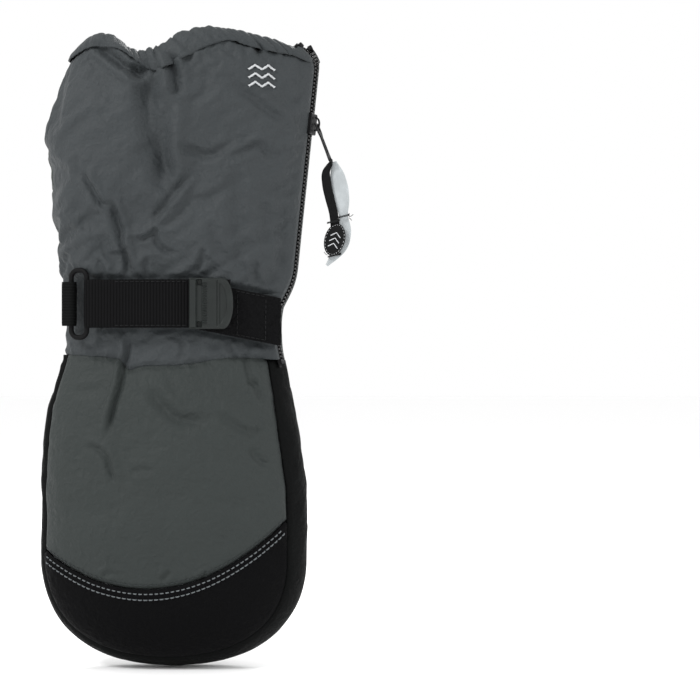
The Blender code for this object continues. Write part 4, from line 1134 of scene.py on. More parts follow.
def hand_panel(name, flat, side, material, slot, node):
    points = face_points(flat[..., 0], flat[..., 1], side)
    gap = np.minimum.reduce(grid_gaps(points))
    relief = fabric_relief(points)
    relief = relief + (edge_relief(gap, 0.5, 1.4, 0.3) if node == "fingertip_cap" else edge_relief(gap))
    skin(name, raise_points(points, relief), material, slot, node)


def seam_between(start, end, line, count=80):
    """A seam's points in x and height, between two points of a rim."""
    x = np.linspace(start[0], end[0], count)
    seam = pairs(x, line(x))
    seam[0], seam[-1] = start, end
    return seam


def wrist_edge(rim, y, count):
    """The top edge of a hand panel, along the wrist's seam."""
    return seam_between(rim[0], rim[-1], lambda x: wrist_line(x, np.full_like(x, y)), count)


def build_hand_panels():
    start, end = rim_crossing(BACK_RIM, cap_seam, True), rim_crossing(BACK_RIM, cap_seam, False)
    seam = seam_between(BACK_RIM[start], BACK_RIM[end - 1], cap_seam)
    flat = coons(wrist_edge(BACK_RIM, -20.0, 60), seam, BACK_RIM[: start + 1], BACK_RIM[end - 1:][::-1], 210, 170)
    hand_panel("hand_back_panel", flat, -1, HAND_GREY, "shell_grey", "back_panel")

    # The cap's side edges stop just short of the seam's ends, where it would come to a point.
    u, within = np.linspace(0, 1, 400), np.linspace(0.012, 0.988, 180)
    upper, lower = (interpolate(within, u, resample(edge, 400)) for edge in (seam, BACK_RIM[start: end]))
    t = np.linspace(0, 1, 56)[:, None, None]
    flat = upper[None] * (1 - t) + lower[None] * t
    hand_panel("fingertip_cap_padded", flat, -1, CAP_BLACK, "shell_black", "fingertip_cap")

    start, end = rim_crossing(PALM_RIM, yoke_seam, True), rim_crossing(PALM_RIM, yoke_seam, False)
    tip_left, tip_right = int(len(PALM_RIM) * 0.40), int(len(PALM_RIM) * 0.60)
    seam = seam_between(PALM_RIM[start], PALM_RIM[end - 1], yoke_seam)
    flat = coons(seam, PALM_RIM[tip_left: tip_right + 1], PALM_RIM[start: tip_left + 1],
                 PALM_RIM[tip_right: end][::-1], 200, 210)
    hand_panel("grip_patch", flat, 1, GRIP, "palm_grip", "palm_patch")
    flat = coons(wrist_edge(PALM_RIM, 20.0, 80), seam, PALM_RIM[: start + 1], PALM_RIM[end - 1:][::-1], 190, 22)
    hand_panel("palm_yoke_panel", flat, 1, PALM_GREY, "shell_grey", "palm_yoke")


def build_wrist_elastic():
    """The wide elastic that draws in the palm side of the wrist, between the shell and the lining."""
    angle = np.radians(np.linspace(188, 340, 200))[None]
    points = ring_points(np.linspace(-141, -163, 30)[:, None], angle)
    relief = -2.4 + 0.5 * shirring(points)
    skin("wrist_elastic_band", raise_points(points, relief), ELASTIC, "elastic", "wrist_elastic", thickness=0.6)


def build_hem_elastic():
    """The band inside the casing, which follows its rise and fall."""
    angle = np.linspace(zip_front(HEM_LEVEL) + 0.03, zip_rear(HEM_LEVEL) - 0.03, 260)[None]
    base = ring_points(RIM_LEVEL, angle)
    x, y, _ = xyz(base)
    top, low = hem_top(x, y) - 2.4, hem_stitch(x, y) + 1.2
    points = ring_points(top + (low - top) * np.linspace(0, 1, 12)[:, None], angle)
    skin("hem_elastic_band", points - normals(base) * 2.2, ELASTIC, "elastic", "hem_elastic", thickness=0.6)


# ---- Inside layers ----
LINING_GAP = 9.0  # from the zip's line to each edge of the cuff's lining


def bag(name, inset, material, slot, nodes, thickness=0.8):
    """A mitten-shaped layer this far inside the body, open at the wrist."""
    inner_tip = TIP_HEIGHT - inset
    turn = np.linspace(0, math.pi / 2, 24)[1:]
    z = np.concatenate((np.linspace(WRIST_SEAM, TIP_START, 50), TIP_START - inner_tip * np.sin(turn)))
    keep = np.maximum(1 - (np.maximum(TIP_START - z, 0) / inner_tip) ** ROUNDNESS, 0) ** (1 / ROUNDNESS)
    keep = np.maximum(keep, 0.004)
    angle = np.linspace(0, 2 * math.pi, 96, endpoint=False)
    middle, half, front, rear = (column[:, None] for column in outline(np.maximum(z, TIP_START)))
    keep, power = keep[:, None], 2 / ROUNDNESS
    out = np.sin(angle)[None]
    depth = np.where(out > 0, front - inset, rear - inset)
    x = middle + (half - inset) * keep * signed_power(np.cos(angle), power)[None]
    y = -depth * keep**0.85 * signed_power(out, power)
    points = np.stack(np.broadcast_arrays(x, y, z[:, None]), axis=-1)
    points = points + 0.5 * value_noise(points, 9.0, 51)[..., None] * normals(points)
    skin(name, points, material, slot, *nodes, thickness=thickness, closed=True)


def build_inside():
    """The fleece lining, the wadding and the waterproof bag, seen only through the mouth."""
    bag("fleece_glove_lining", 10.0, FLEECE, "lining", ("hand_lining",))
    bag("wadding_bag", 7.2, WADDING, "padding", ("padding_back", "padding_palm"), 1.6)
    bag("membrane_bag", 5.6, MEMBRANE, "membrane", ("waterproof_insert",), 0.3)


def build_cuff_lining():
    """The gauntlet's fleece lining from the hem to the wrist."""
    share = np.linspace(0, 1, 220)[None, :]
    down = np.linspace(0, 1, 90)[:, None]
    z = -8.0 + (WRIST_SEAM + 8.0) * down
    for _ in range(2):
        start, end = angle_at_y(z, ZIP_Y - LINING_GAP), 2 * math.pi + angle_at_y(z, ZIP_Y + LINING_GAP)
        points = ring_points(z, start + (end - start) * share)
        top = hem_top(points[:1, :, 0], points[:1, :, 1]) - 3.4
        z = top + (WRIST_SEAM - top) * down
    relief = -6.4 + 0.7 * soft_bumps(points) + 0.5 * fabric_relief(points)
    skin("fleece_cuff_lining", raise_points(points, relief), FLEECE, "lining", "cuff_lining")


# ---- Thumb ----
THUMB = (  # height, left edge, right edge and how far it stands off the palm
    (-164.0, -50.0, 0.0, 1.5),
    (-170.0, -56.0, 3.0, 10.0),
    (-178.0, -60.0, 5.5, 20.0),
    (-195.0, -62.0, 7.0, 30.0),
    (-217.0, -57.0, 7.2, 31.5),
    (-231.0, -51.5, 7.2, 31.0),
    (-244.0, -46.5, 7.0, 29.5),
    (-256.0, -40.5, 6.5, 27.0),
    (-267.0, -33.0, 5.0, 23.0),
    (-276.0, -26.5, 0.5, 16.5),
    (-281.0, -19.0, -6.5, 8.5),
    (-282.2, -14.0, -11.5, 5.0),
)
THUMB_ROUNDNESS = 2.5
THUMB_GAP = 0.8


def palm_y(x, z):
    middle, half, _, rear = outline(z)
    share = np.minimum(np.abs(x - middle) / half, 0.995)
    return rear * (1 - share**ROUNDNESS) ** (1 / ROUNDNESS)


def thumb_surface(z, turn, inset=0.0):
    """The thumb by height and turn: 0 faces the zip's side, a quarter turn away from the palm."""
    stations = np.array(THUMB)
    path = curve_through([(-row[0], index) for index, row in enumerate(THUMB)], 110)
    level = np.interp(-z, path[:, 0], path[:, 1])
    index = np.arange(len(stations))
    smooth = [curve_through(list(zip(index, stations[:, i])), 110) for i in (1, 2, 3)]
    left, right, depth = (np.interp(level, line[:, 0], line[:, 1]) for line in smooth)
    left, right = left + inset, right - inset
    depth = np.maximum(depth - 2 * inset, 0.6)
    power = 2 / THUMB_ROUNDNESS
    x = (left + right) / 2 + (right - left) / 2 * signed_power(np.cos(turn), power)
    y = palm_y(x, z) + THUMB_GAP + inset + depth * (1 + signed_power(np.sin(turn), power)) / 2
    return np.stack(np.broadcast_arrays(x, y, z), axis=-1)


def grid_normals(points):
    """Directions square to a grid of points, all to the same side of it."""
    return unit(np.cross(np.gradient(points, axis=1), np.gradient(points, axis=0)))


THUMB_FOLDS = (  # turn in degrees and height
    (((60, -262), (100, -266), (140, -262)), 2.2, 1.2, 0.3),
    (((40, -274), (90, -276), (130, -273)), 1.8, 0.8, 0.0),
    (((150, -175), (130, -188), (140, -203)), 3.0, 1.6, 0.0),
    (((100, -172), (92, -186), (98, -200)), 3.4, 1.3, 0.0),
    (((60, -176), (66, -190), (58, -205)), 3.0, 1.2, 0.0),
    (((160, -215), (130, -222), (100, -220)), 4.0, 0.8, 0.0),
    (((60, -240), (90, -246), (120, -243)), 4.0, 0.7, 0.0),
)


THUMB_TOP, THUMB_LENGTH = -164.0, 118.0
THUMB_X, THUMB_Z = -22.0, -220.0  # a line down its middle, and a height on it
FOLD_DEGREE = 0.45  # millimetres of fabric for each degree round the thumb


def build_thumb():
    """A grey outer panel, a ribbed black inner band and a black underside, over padding and fleece."""
    def inner_edge(z):
        return np.radians(58 - 22 * soft_step((-225 - z) / 55))

    def at_angle(degrees):
        return lambda z: np.radians(degrees + 0 * z)

    parts = (
        ("thumb_outer_panel", inner_edge, at_angle(196), 130, HAND_GREY, "shell_grey", ("thumb_shell",)),
        ("thumb_inner_band", at_angle(-62), inner_edge, 70, INNER_RIB, "shell_black", ()),
        ("thumb_underside", at_angle(196), at_angle(298), 60, BLACK, "shell_black", ()),
    )
    folds = tuple((tuple((a * FOLD_DEGREE, b) for a, b in path), wide, deep, lean)
                  for path, wide, deep, lean in THUMB_FOLDS)
    z = (THUMB_TOP - THUMB_LENGTH * np.sin(np.linspace(0, math.pi / 2, 130)) ** 1.15)[:, None]
    for name, start, end, across, material, slot, nodes in parts:
        turn = start(z) + (end(z) - start(z)) * np.linspace(0, 1, across)[None]
        points = thumb_surface(z, turn)
        outward = grid_normals(points)
        centre = np.stack(np.broadcast_arrays(THUMB_X, palm_y(THUMB_X, z) + 12 + 0 * turn, z), axis=-1)
        if ((points - centre) * outward).sum(axis=-1).mean() < 0:
            outward = -outward
        left, right, high, low = grid_gaps(points)
        relief = 0.6 * soft_bumps(points) + edge_relief(np.minimum(left, right), puff=0.6)
        if name == "thumb_outer_panel":
            relief = relief + add_folds(pairs(np.degrees(turn) * FOLD_DEGREE, z + 0 * turn), folds)
        relief = relief * soft_step(high / 6) * soft_step(low / 5)
        piece = grid_mesh(name, points + outward * relief[..., None])
        about = Vector((THUMB_X, float(palm_y(np.array(THUMB_X), np.array(THUMB_Z)) + 12), 0)) * MM
        facing(piece, lambda centre, about=about: centre - Vector((about.x, about.y, centre.z)))
        finish_piece(piece, material, body=None, replaces=nodes)
        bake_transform(piece)
    for name, inset, material, slot, node in (
            ("thumb_wadding", 4.0, WADDING, "padding", "thumb_padding"),
            ("thumb_fleece", 6.6, FLEECE, "lining", "thumb_lining")):
        turn = np.linspace(0, 2 * math.pi, 64, endpoint=False)[None]
        points = thumb_surface(np.linspace(-174 - inset, -272 + inset, 60)[:, None], turn, inset)
        piece = grid_mesh(name, points, thickness=0.8, closed=True)
        facing(piece, lambda centre: centre - Vector((-0.022, 0.036, centre.z)))
        finish_piece(piece, material, body=None, replaces=(node,))
        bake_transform(piece)


# ---- Stitches ----
def stitch_piece(name, path, outward, length, gap, radius, material, body=ROOT, lift=0.25):
    """Separate thread stitches along a path of 3-D points, lying on the surface."""
    lengths = distances(path)
    form = bmesh.new()
    for start in np.arange(0.4, lengths[-1] - length, length + gap):
        spots = np.linspace(start, start + length, 5)
        centre, up = interpolate(spots, lengths, path), interpolate(spots, lengths, outward)
        arch = lift + 0.9 * radius * np.sin(np.linspace(0, math.pi, 5))
        arch[0], arch[-1] = lift - radius * 1.2, lift - radius * 1.2
        tube(form, centre + up * arch[:, None], up, radius)
    finish_piece(mesh_piece(name, form), material, body=body)


def tube(form, centre, up, radius, sides=6, caps=True):
    """A round thread through points in millimetres, with directions out of the surface."""
    rings = []
    for i, point in enumerate(centre):
        ahead = unit(centre[min(i + 1, len(centre) - 1)] - centre[max(i - 1, 0)])
        side = unit(np.cross(ahead, up[i]))
        rise = np.cross(side, ahead)
        ring = []
        for k in range(sides):
            turn = 2 * math.pi * k / sides
            spot = point + (side * math.cos(turn) + rise * math.sin(turn)) * radius
            ring.append(form.verts.new(spot * MM))
        rings.append(ring)
    join_rings(form, rings, caps)


def surface_path(flat, side, gap=20.0):
    """Points and outward directions on the finished fabric over 2-D points, this far from a seam."""
    points = face_points(flat[:, 0], flat[:, 1], side)
    outward = normals(points)
    relief = fabric_relief(points) + edge_relief(np.full(len(points), gap))
    return points + outward * relief[:, None], outward


SEAM_ROWS = (  # name, the seam, its ends and points, how far below it, side, length, gap, radius and thread
    ("cap_topstitch_0", cap_seam, (-66, 59, 260), 2.4, -1, 1.9, 0.9, 0.34, THREAD_PALE),
    ("cap_topstitch_1", cap_seam, (-66, 59, 260), 5.4, -1, 1.9, 0.9, 0.34, THREAD_PALE),
    ("yoke_topstitch_0", yoke_seam, (8, 61, 120), 2.2, 1, 1.9, 0.9, 0.3, THREAD_GREY),
    ("yoke_topstitch_1", yoke_seam, (8, 61, 120), 4.8, 1, 1.9, 0.9, 0.3, THREAD_GREY),
    ("cap_seam_upper_stitch", cap_seam, (-66, 59, 260), -2.2, -1, 1.6, 1.1, 0.2, THREAD_GREY),
)
RIM_CENTRE = np.array((0.0, -262.0))


def build_seam_stitches():
    for name, seam, span, below, side, length, gap, radius, thread in SEAM_ROWS:
        x = np.linspace(*span)
        path, outward = surface_path(pairs(x, seam(x) - below), side, abs(below))
        stitch_piece(name, path, outward, length, gap, radius, thread)
    for row, inward in enumerate((2.0, 4.4)):
        flat = resample((PALM_RIM + unit(RIM_CENTRE - PALM_RIM) * inward)[70:345], 320)
        path, outward = surface_path(flat, 1, inward)
        stitch_piece(f"palm_rim_stitch_{row}", path, outward, 1.8, 0.9, 0.26, THREAD_DARK)
    for number, z in enumerate(ELASTIC_ROWS[1:3]):
        x = np.arange(-50, 52, 0.5)
        zigzag = 1.3 * np.abs(((x / 2.4) % 2) - 1) - 0.65
        points = face_points(x, z + zigzag, 1)
        outward = normals(points)
        relief = 0.6 * fabric_relief(points) + shirring(points) + 0.35
        form = bmesh.new()
        tube(form, points + outward * (relief + 0.2)[:, None], outward, 0.24)
        finish_piece(mesh_piece(f"elastic_zigzag_{number}", form), THREAD_GREY)


# ---- Zip ----
def zip_middle(z):
    """The middle of the chain, straight above the bend and then along the wrist."""
    z = np.asarray(z, float)
    straight = SLIDER_X + ZIP_LEAN * (z - SLIDER_Z)
    on_body = ring_points(z, angle_at_y(z, ZIP_Y))[..., 0]
    share = soft_step((ZIP_BEND - z) / 24)
    return np.stack((straight + (on_body - straight) * share, np.full_like(z, ZIP_Y), z), axis=-1)


ZIP_OUT = np.array((math.cos(ZIP_TURN), -math.sin(ZIP_TURN), 0.0))


def zip_frame(z):
    """The chain's place and its directions across towards the palm, along and out."""
    along = unit(zip_middle(z + 0.5) - zip_middle(z - 0.5))
    out = unit(ZIP_OUT - along * (ZIP_OUT @ along))
    return zip_middle(z), np.cross(along, out), along, out


def row_spot(z, side):
    """A row's middle and the way it faces: on the chain below, on the fabric's edge near the mouth."""
    place, across, _, out = zip_frame(z)
    shift = zip_spread(z)
    chained = place + across * side * shift
    resting = ring_points(z, angle_at_y(z, ZIP_Y + side * shift * math.cos(ZIP_TURN)))
    share = float(soft_step((z - TRAVEL_TOP) / 15))
    turned = out + (normals(resting[None])[0] - out) * share
    return chained + (resting + out * 1.2 - chained) * share, unit(turned)


def row_place(z, side):
    """A row's own frame: its middle, across it towards the palm, along it and out."""
    spot, out = row_spot(z, side)
    along = unit(row_spot(z + 0.6, side)[0] - row_spot(z - 0.6, side)[0])
    across = unit(np.cross(along, out))
    return spot, across, along, np.cross(across, along)


def row_steps(side, start, step):
    """Heights at even steps along a row, from the mouth down."""
    z = np.arange(start, ZIP_BOTTOM, -0.5)
    run = distances(np.array([row_spot(level, side)[0] for level in z]))
    return np.interp(np.arange(0, run[-1], step), run, z)


ROW_TOP = -1.5
TOOTH_PITCH = 2.0
TOOTH_MIDDLE = 1.37  # about which its ends draw in
TOOTH = ((0.34, 0.62), (0.34, -0.62), (0.74, -0.8), (1.1, -0.45), (2.4, -0.5), (2.4, 0.5), (1.1, 0.45), (0.74, 0.8))
STOP_SIZE = (2.6, 2.8, 2.4)


def zip_tooth(form, z, side):
    """One tooth: its outline at four heights, drawn in at the first and last."""
    place, across, along, out = row_place(z, side)
    rings = []
    for height, shrink in ((-1.0, 0.82), (-0.85, 1.0), (0.85, 1.0), (1.0, 0.82)):
        ring = []
        for u, w in TOOTH:
            u = TOOTH_MIDDLE + (u - TOOTH_MIDDLE) * shrink
            spot = place + across * side * u + along * w * shrink + out * height
            ring.append(form.verts.new(spot * MM))
        rings.append(ring)
    join_rings(form, rings)


def build_zip():
    for side, label in ((-1, "front"), (1, "rear")):
        form = bmesh.new()
        for z in row_steps(side, ROW_TOP - 2.6 - (TOOTH_PITCH / 2 if side > 0 else 0), TOOTH_PITCH):
            zip_tooth(form, z, side)
        piece = mesh_piece(f"zip_teeth_row_{label}", form, smooth=False)
        finish_piece(piece, TEETH, replaces=(f"zip_teeth_{label}",))

        rows = []
        for z in np.arange(ROW_TOP + 1.0, ZIP_BOTTOM - 2, -0.8):
            place, across, _, out = row_place(z, side)
            rows.append(place + across * (side * np.linspace(1.7, 4.4, 10))[:, None] + out * 0.15)
        piece = grid_mesh(f"zip_tape_woven_{label}", np.array(rows), thickness=0.5)
        facing(piece, lambda centre: Vector(ZIP_OUT))
        finish_piece(piece, TAPE, replaces=(f"zip_tape_{label}",))

        form = bmesh.new()
        place, across, along, out = row_place(ROW_TOP - 0.6, side)
        bmesh.ops.create_cube(form, size=1)
        turn = Matrix((across, along, out)).transposed()
        for vert in form.verts:
            size = Vector([part * whole for part, whole in zip(vert.co, STOP_SIZE)])
            vert.co = (Vector(place + across * side * 0.9) + turn @ size) * MM
        stop = finish_piece(mesh_piece(f"zip_top_stop_{label}_crimped", form), METAL,
                            replaces=(f"zip_top_stop_{label}",))
        bevelled(stop, 0.5, 3)

    share = np.linspace(0, 1, 90)[None]
    z = np.linspace(-12.0, WRIST_SEAM + 2, 120)[:, None]
    start, end = angle_at_y(z, ZIP_Y + 5.6), angle_at_y(z, ZIP_Y - 5.6)
    points = ring_points(z, start + (end - start) * share)
    wave = np.sin(math.pi * share) ** 0.7 * 6.0 + 1.2 * np.sin(6 * math.pi * share)
    relief = -4.2 - wave + 0.5 * soft_bumps(points)
    skin("zip_gusset_pleated", raise_points(points, relief), BLACK, "shell_black", "zip_gusset", thickness=0.5)


# ---- Carried-over hard pieces ----
def bevelled(piece, width, segments):
    step = piece.modifiers.new("soft_edges", "BEVEL")
    step.width = width * MM
    step.segments = segments
    step.limit_method = "ANGLE"


def keep_node(name, material):
    """A part of the CAD that keeps its own form."""
    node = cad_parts[name]
    node.data.materials.clear()
    node.data.materials.append(material)


def build_kept():
    for name in ("slider_body", "slider_bridge", "puller"):
        keep_node(name, METAL)
    keep_node("zip_bottom_stop", METAL)


# ---- Wrist strap ----
STRAP_BASE, LOOP_TAPE, HOOK_TAPE = (0.4, 1.6), (1.9, 2.6), (2.9, 3.5)
STRAP_TOP, END_TAB = (3.8, 5.0), (5.3, 7.9)
TAPES_START, STRAP_SEAM = -15.0, 50.0
TAB_START, TAB_END = 10.0, 31.5
RING_X = (-50.5, -42.5)
RING_BAR, RING_CLEAR, RING_HALF_HEIGHT = 1.5, 0.4, 17.5
WEB = 1.2


def section_depth(x, z):
    middle, half, front, _ = outline(np.asarray(z, float))
    share = np.minimum(np.abs(x - middle) / half, 0.99)
    return front * (1 - share**ROUNDNESS) ** (1 / ROUNDNESS)


def strap_place(x, out):
    """A point in plan this far out from the cuff's back at the strap."""
    def depth(at_x):
        return max(section_depth(at_x, z) for z in (STRAP_Z + STRAP_HALF + 1, STRAP_Z, STRAP_Z - STRAP_HALF - 6))

    slope = depth(x + 0.5) - depth(x - 0.5)
    outward = np.array((-slope, -1.0))
    return np.array((x, -depth(x))) + outward / np.linalg.norm(outward) * out


def layer_path(x_from, x_to, layer, steps, lift=0.0):
    path = []
    for x in np.linspace(x_from, x_to, steps + 1):
        ease = max(0.0, 1 - (x - x_from) / 22) ** 2
        path.append(strap_place(x, sum(layer) / 2 + lift * ease))
    return np.array(path)


def rework(piece, change):
    """Changes a piece's mesh, then turns all its faces outward."""
    form = bmesh.new()
    form.from_mesh(piece.data)
    change(form)
    bmesh.ops.recalc_face_normals(form, faces=form.faces)
    form.to_mesh(piece.data)
    form.free()


def closed_grid(name, points, uv):
    """A solid from rings of points, with its two ends filled."""
    piece = grid_mesh(name, points, uv=uv, thickness=0, closed=True)
    rework(piece, lambda form: bmesh.ops.holes_fill(
        form, edges=[edge for edge in form.edges if edge.is_boundary], sides=0))
    piece.data.set_sharp_from_angle(angle=math.radians(50))
    return piece


def path_sides(path):
    """Directions square to a 2-D path, to its right at each point."""
    along = unit(np.gradient(path, axis=0))
    return pairs(along[:, 1], -along[:, 0])


def off_path(path, out, shift, height):
    """3-D points this far to the side of a path in plan, at these heights."""
    x, y = path[:, :1] + out[:, :1] * shift, path[:, 1:] + out[:, 1:] * shift
    return np.stack((x, y, height), axis=-1)


def ribbon(name, path, half_height, thickness, material, body, replaces, relief, slope=0.0, step=0.3,
           columns=16):
    """An upright band along a path in plan, with soft edges and relief on both faces."""
    length = np.linalg.norm(np.diff(path, axis=0), axis=1).sum()
    path = resample(path, max(8, int(length / step)))
    level = half_height * np.sin(np.linspace(-math.pi / 2, math.pi / 2, columns))
    round_off = (1 - np.abs(level / half_height) ** 14) ** 0.5
    heights = np.concatenate((level, level[::-1]))
    width = np.concatenate((round_off, -round_off)) * thickness / 2
    face = np.concatenate((np.ones(columns), -np.ones(columns)))
    s, h = np.linspace(0, length, len(path))[:, None], heights[None, :]
    offset = width[None, :] + 0 * s
    offset = offset + face[None, :] * relief(s, h) * np.abs(width[None, :]) / (thickness / 2)
    middle = STRAP_Z + slope * np.maximum(0, path[:, 0] - SLOPE_START)
    points = off_path(path, path_sides(path), offset, middle[:, None] + h)
    uv = pairs(*np.broadcast_arrays(s, h)) * MM
    return finish_piece(closed_grid(name, points, uv), material, body=body, replaces=replaces)


def cross_ribs(pitch, depth):
    """Relief of ribs across a band, with the weave's small steps between them."""
    def relief(s, h):
        weave = 0.35 * np.sin(2 * math.pi * h / 1.9 + math.pi * np.floor(s / pitch))
        return depth * (np.abs(np.sin(math.pi * s / pitch)) ** 0.6 - 0.7 + 0.25 * weave)
    return relief


def long_ribs(pitch, depth):
    """Relief of ribs along a band."""
    def relief(s, h):
        return depth * (np.abs(np.sin(math.pi * h / pitch)) ** 0.6 - 0.7)
    return relief


def pile(depth, seed):
    """Relief of the hooks or loops of a fastener."""
    def relief(s, h):
        place = pairs(*np.broadcast_arrays(s, h))
        return depth * (value_noise(place, 0.75, seed) + 0.5 * value_noise(place, 2.1, seed + 1))
    return relief


TAB_HALF, TAB_ROUND = 13.2, 5.7
TAB_STEPS = (  # how much it rises, its ends along the tab and its ends across it
    (0.55, (0.4, 3.4), (-12.4, 12.4)),
    (-0.6, (3.8, 6.6), (-12.4, 12.4)),
)


def tab_form(name, path, material):
    """The moulded end tab: a raised bar, a slot with two holes, a ladder of ribs and a rounded end."""
    length = np.linalg.norm(np.diff(path, axis=0), axis=1).sum()
    rows, columns = 120, 140
    path = resample(path, rows)
    s = np.linspace(0, length, rows)
    keep = np.sqrt(np.maximum(1 - np.clip((s - (length - TAB_ROUND)) / 5.75, 0, 1) ** 2.2, 0))
    tall = np.maximum(TAB_HALF * keep, 0.4)[:, None]
    h = tall * np.linspace(-1, 1, columns)[None]
    run = s[:, None] + 0 * h
    edge = np.minimum.reduce((run, length - run, (tall - np.abs(h)) * 0.9 + 0 * run))
    rise = 0.45 * (1 - np.exp(-np.maximum(edge, 0) / 0.45)) + 0.25 * np.exp(-((edge - 0.9) / 0.5) ** 2)

    def ramp(value, low, top, soft=0.22):
        return soft_step((value - low) / soft + 0.5) * soft_step((top - value) / soft + 0.5)

    for height, along, across in TAB_STEPS:
        rise = rise + height * ramp(run, *along) * ramp(h, *across)
    holes = ramp(run, 4.0, 6.4) * (ramp(h, 9.4, 12.2) + ramp(h, -12.2, -9.4))
    rise = rise - 1.5 * holes
    ladder = np.maximum(0, np.sin(2 * math.pi * h / 1.25)) ** 0.5
    rise = rise + (0.5 * ladder - 0.15) * ramp(run, 6.9, 9.2) * ramp(h, -10.8, 10.8)
    rise = rise - 0.35 * ramp(run, 14.1, 14.6) * ramp(h, -12.0, 12.0)
    inside = 1 - ((run - 15.3) / 4.0) ** 2 - (h / 10.8) ** 2
    recess = soft_step(inside / 0.12) * soft_step((run - 15.3) / 0.25)
    rise = rise - 0.55 * recess
    out = path_sides(path)
    front, back = (off_path(path, out, depth, STRAP_Z + h) for depth in (0.75 + rise, -1.2 + 0 * rise))
    points = np.concatenate((front, back[:, ::-1]), axis=1)
    flat = pairs(run, h)
    piece = closed_grid(name, points, np.concatenate((flat, flat[:, ::-1]), axis=1) * MM)
    return finish_piece(piece, material, body="strap", replaces=("end_tab",))


def build_strap_ring(left, direction, span):
    """The moulded ring: a round bar bent into a tall rectangle with round corners."""
    corner, high = 4.0, RING_HALF_HEIGHT
    corners = ((span - corner, high - corner), (corner, high - corner), (corner, corner - high),
               (span - corner, corner - high))
    bends = []
    for quarter, (cx, cz) in enumerate(corners):
        for angle in np.radians(np.linspace(90 * quarter, 90 * quarter + 90, 10)):
            bends.append((cx + corner * math.cos(angle), cz + corner * math.sin(angle)))
    loop = resample(np.array(bends + bends[:1]), 161)[:-1]
    middle = np.array([(left[0] + direction[0] * s, left[1] + direction[1] * s, STRAP_Z + h) for s, h in loop])
    ahead = unit(np.roll(middle, -1, axis=0) - np.roll(middle, 1, axis=0))
    flat_out = np.array((direction[1], -direction[0], 0.0))
    side = np.cross(ahead, flat_out)
    turn = np.linspace(0, 2 * math.pi, 20, endpoint=False)
    points = (middle[:, None] + side[:, None] * signed_power(np.cos(turn), 0.85)[None, :, None] * 1.3
              + flat_out[None, None] * signed_power(np.sin(turn), 0.85)[None, :, None] * 1.2)
    points = np.concatenate((points, points[:1]))
    piece = grid_mesh("strap_ring_moulded", points, thickness=0, closed=True)
    rework(piece, lambda form: bmesh.ops.remove_doubles(form, verts=form.verts, dist=1e-6))
    finish_piece(piece, BUCKLE, body="ring", replaces=("strap_ring",))


def build_strap():
    bar_out = STRAP_BASE[1] + RING_CLEAR + RING_BAR
    left, right = (strap_place(x, bar_out) for x in RING_X)
    wrap = RING_BAR + RING_CLEAR + WEB / 2
    ribbon("strap_base_webbing", layer_path(right[0] + wrap + 4.2, STRAP_SEAM + 5.5, STRAP_BASE, 60), STRAP_HALF,
           1.1, WEBBING, ROOT, ("strap_base",), cross_ribs(1.6, 0.16), slope=STRAP_SLOPE)
    ribbon("loop_tape_pile", layer_path(TAPES_START, STRAP_SEAM + 5.5, LOOP_TAPE, 60), STRAP_HALF, 0.7, LOOPS,
           ROOT, ("loop_tape",), pile(0.3, 61), slope=STRAP_SLOPE, columns=60, step=0.45)
    ribbon("hook_tape_pile", layer_path(TAPES_START, TAB_END - 2, HOOK_TAPE, 40), STRAP_HALF - 1, 0.5, HOOKS,
           "strap", ("hook_tape",), pile(0.12, 71), columns=40, step=0.6)
    outward = strap_place(RING_X[1], 1) - strap_place(RING_X[1], 0)
    turn = math.atan2(-outward[1], -outward[0]) - np.linspace(0, math.pi, 30)
    fold_path = right + pairs(np.cos(turn), np.sin(turn)) * wrap
    lift = bar_out + wrap - sum(STRAP_TOP) / 2
    top = layer_path(RING_X[1] + 3, TAB_END - 1, STRAP_TOP, 60, lift)
    ribbon("strap_top_webbing", np.concatenate((fold_path, top)), STRAP_HALF, 1.15, WEBBING, "strap",
           ("strap_top",), cross_ribs(1.6, 0.2), columns=26, step=0.16)
    tab_form("end_tab_moulded", layer_path(TAB_START, TAB_END, END_TAB, 40), TAB)

    span = np.linalg.norm(right - left)
    direction = (right - left) / span
    build_strap_ring(left, direction, span)

    # The keeper goes round the ring's thumb-side bar and back to the seam.
    towards_seam = -direction
    sideways = np.array((-towards_seam[1], towards_seam[0]))
    reach = RING_BAR + RING_CLEAR + 0.5
    turn = math.pi / 2 - np.linspace(0, math.pi, 24)
    loop = (left - towards_seam * (np.cos(turn) * reach)[:, None] + sideways * (np.sin(turn) * reach)[:, None])
    legs = [towards_seam * length for length in (4.0, 2.0)]
    path = np.concatenate(([loop[0] + leg for leg in legs], loop, [loop[-1] + leg for leg in legs[::-1]]))
    ribbon("ring_keeper_webbing", path, 11.5, 1.0, KEEPER, ROOT, ("ring_keeper",), long_ribs(1.5, 0.22),
           columns=46, step=0.5)


